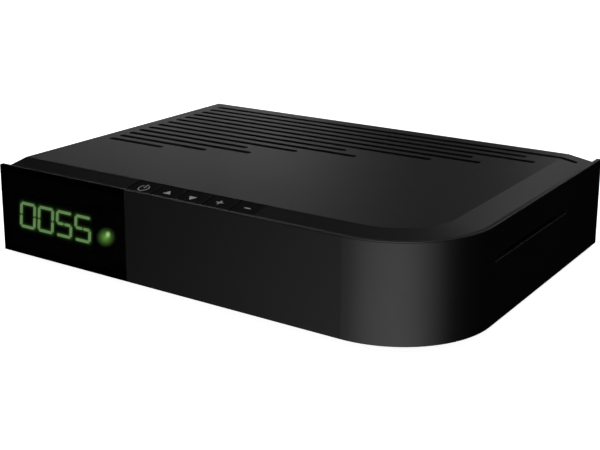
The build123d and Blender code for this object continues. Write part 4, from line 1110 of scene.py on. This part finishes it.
# %% [markdown]
# ## Floor and light
# The studio is plain: a pale floor that runs out of the picture, and soft panels that draw the
# long gradients on black plastic. Black plastic shows almost nothing but what it reflects, so the
# panels' places matter more than their power: low ones behind draw the sheen of the lid, a ring
# of them in front draws the bright band round the corner.

# %% Floor
FLOOR_SIZE, FLOOR_LIGHT = 12, 0.95
WHITE = (1.0, 1.0, 1.0, 1.0)
bpy.ops.object.select_all(action="DESELECT")
bpy.ops.mesh.primitive_plane_add(size=FLOOR_SIZE, location=(0, 0, 0))
floor = bpy.context.object
floor.name = "floor"
paper = Finish("floor_paper", (0.9, 0.9, 0.9), Roughness=0.9, Specular_IOR_Level=0.0)
paper.give(Emission_Color=WHITE, Emission_Strength=FLOOR_LIGHT)
floor.data.materials.append(paper.material)
floor.visible_glossy = False
floor.visible_diffuse = False
floor.visible_shadow = False
print("floor", FLOOR_SIZE, "metres square")

# %% A soft panel
PANEL_AWAY = 1.6  # metres from the receiver


def panel(azimuth, elevation, wide, tall, power):
    """A soft panel that faces the receiver; azimuth runs from straight behind to the right."""
    data = bpy.data.lights.new("soft_panel", "AREA")
    data.shape, data.size, data.size_y, data.energy = "RECTANGLE", wide, tall, power
    light = bpy.data.objects.new("soft_panel", data)
    bpy.context.scene.collection.objects.link(light)
    az, el = math.radians(azimuth), math.radians(elevation)
    away = Vector((math.sin(az) * math.cos(el), math.cos(az) * math.cos(el), math.sin(el)))
    light.location = away * PANEL_AWAY
    light.rotation_euler = away.to_track_quat("Z", "Y").to_euler()
    light.visible_camera = False


# %% Where the panels stand
PANELS = (
    # azimuth, elevation, width, height, power
    # low and behind: the sheen of the lid, brightest along its far left edge
    (-48, 3, 0.40, 0.12, 0.79),
    (-37, 4, 0.40, 0.12, 0.28),
    (-36, 8, 0.20, 0.10, 0.12),
    (-38, 11, 0.60, 0.30, 0.11),
    (-20, 12, 0.60, 0.30, 0.06),
    (-12, 16, 0.20, 0.15, 0.15),
    # higher behind: the right-hand slope, and the sharp rim below it
    (0, 36, 0.60, 0.30, 0.49),
    (16, 33, 0.30, 0.20, 0.75),
    # in front and low: the bright band round the corner
    (-160, -21, 0.45, 0.50, 0.80),
    (180, -21, 0.45, 0.50, 1.88),
    (163, -21, 0.45, 0.50, 1.98),
    (147, -21, 0.45, 0.50, 2.28),
    (130, -21, 0.45, 0.50, 2.08),
    (112, -21, 0.45, 0.50, 0.93),
    # overhead: the printed signs
    (150, 80, 1.00, 1.00, 14.0),
    # the lid as seen from the other sides
    (-160, 20, 0.60, 0.30, 0.50),
    (160, 20, 0.60, 0.30, 0.50),
    (-90, 15, 0.60, 0.30, 0.40),
    (70, 14, 0.60, 0.30, 0.10),
    # behind and below the lid: the rear panel and the left side
    (-40, -15, 0.80, 0.60, 14.0),
    (-13, -12, 0.30, 0.50, 8.0),
    (-75, -15, 0.50, 0.50, 8.0),
)
for row in PANELS:
    panel(*row)
print("soft panels", len(PANELS))

# %% [markdown]
# ## Sky
# The world does two things: to the lens it is as white as the floor, so that no edge shows where
# the floor ends, and to every other ray it is almost black, so that black plastic stays black.

# %% Sky
FAINT_SKY = 0.0015
world = bpy.data.worlds.new("studio")
bpy.context.scene.world = world
world.use_nodes = True
sky = Bench(world.node_tree)
seen = sky.tree.nodes["Background"]
sky.feed(seen.inputs["Color"], WHITE)
faint = sky.add("ShaderNodeBackground", sockets={"Color": WHITE, "Strength": FAINT_SKY})
ray = sky.add("ShaderNodeLightPath", output="Is Camera Ray")
mixed = sky.add("ShaderNodeMixShader", sockets={0: ray, 1: faint, 2: Wire(sky, seen.outputs[0])})
sky.feed(sky.tree.nodes["World Output"].inputs["Surface"], mixed)
bpy.context.scene.view_settings.view_transform = "Standard"
print("sky strength for reflections", FAINT_SKY)

# %% [markdown]
# ## Camera
# A moderately long lens stands above the front right corner and looks a little down, so that the
# front, the right side and the lid all show. The camera is turned about a point under the lid by
# a yaw and a pitch; a small shift of the lens then centres the receiver in the frame without
# bending its uprights.

# %% Camera
lens = bpy.data.cameras.new("camera")
camera = bpy.data.objects.new("camera", lens)
bpy.context.scene.collection.objects.link(camera)
bpy.context.scene.camera = camera
CAMERA_YAW, CAMERA_PITCH, CAMERA_DISTANCE = 0.59702, 0.23841, 0.580743
CAMERA_AIM = Vector((-0.051996, 0.055913, 0.033055))
LENS_LONG, SENSOR_WIDE, LENS_SHIFT = 66.4455, 36.0, (0.02525, -0.14188)
back = Vector((
    math.sin(CAMERA_YAW) * math.cos(CAMERA_PITCH),
    -math.cos(CAMERA_YAW) * math.cos(CAMERA_PITCH),
    math.sin(CAMERA_PITCH),
))
camera.location = CAMERA_AIM + back * CAMERA_DISTANCE
camera.rotation_euler = (math.pi / 2 - CAMERA_PITCH, 0, CAMERA_YAW)
lens.lens, lens.sensor_width = LENS_LONG, SENSOR_WIDE
lens.shift_x, lens.shift_y = LENS_SHIFT
lens.clip_start, lens.clip_end = 0.01, 30.0
print("camera at", [round(v, 4) for v in camera.location])
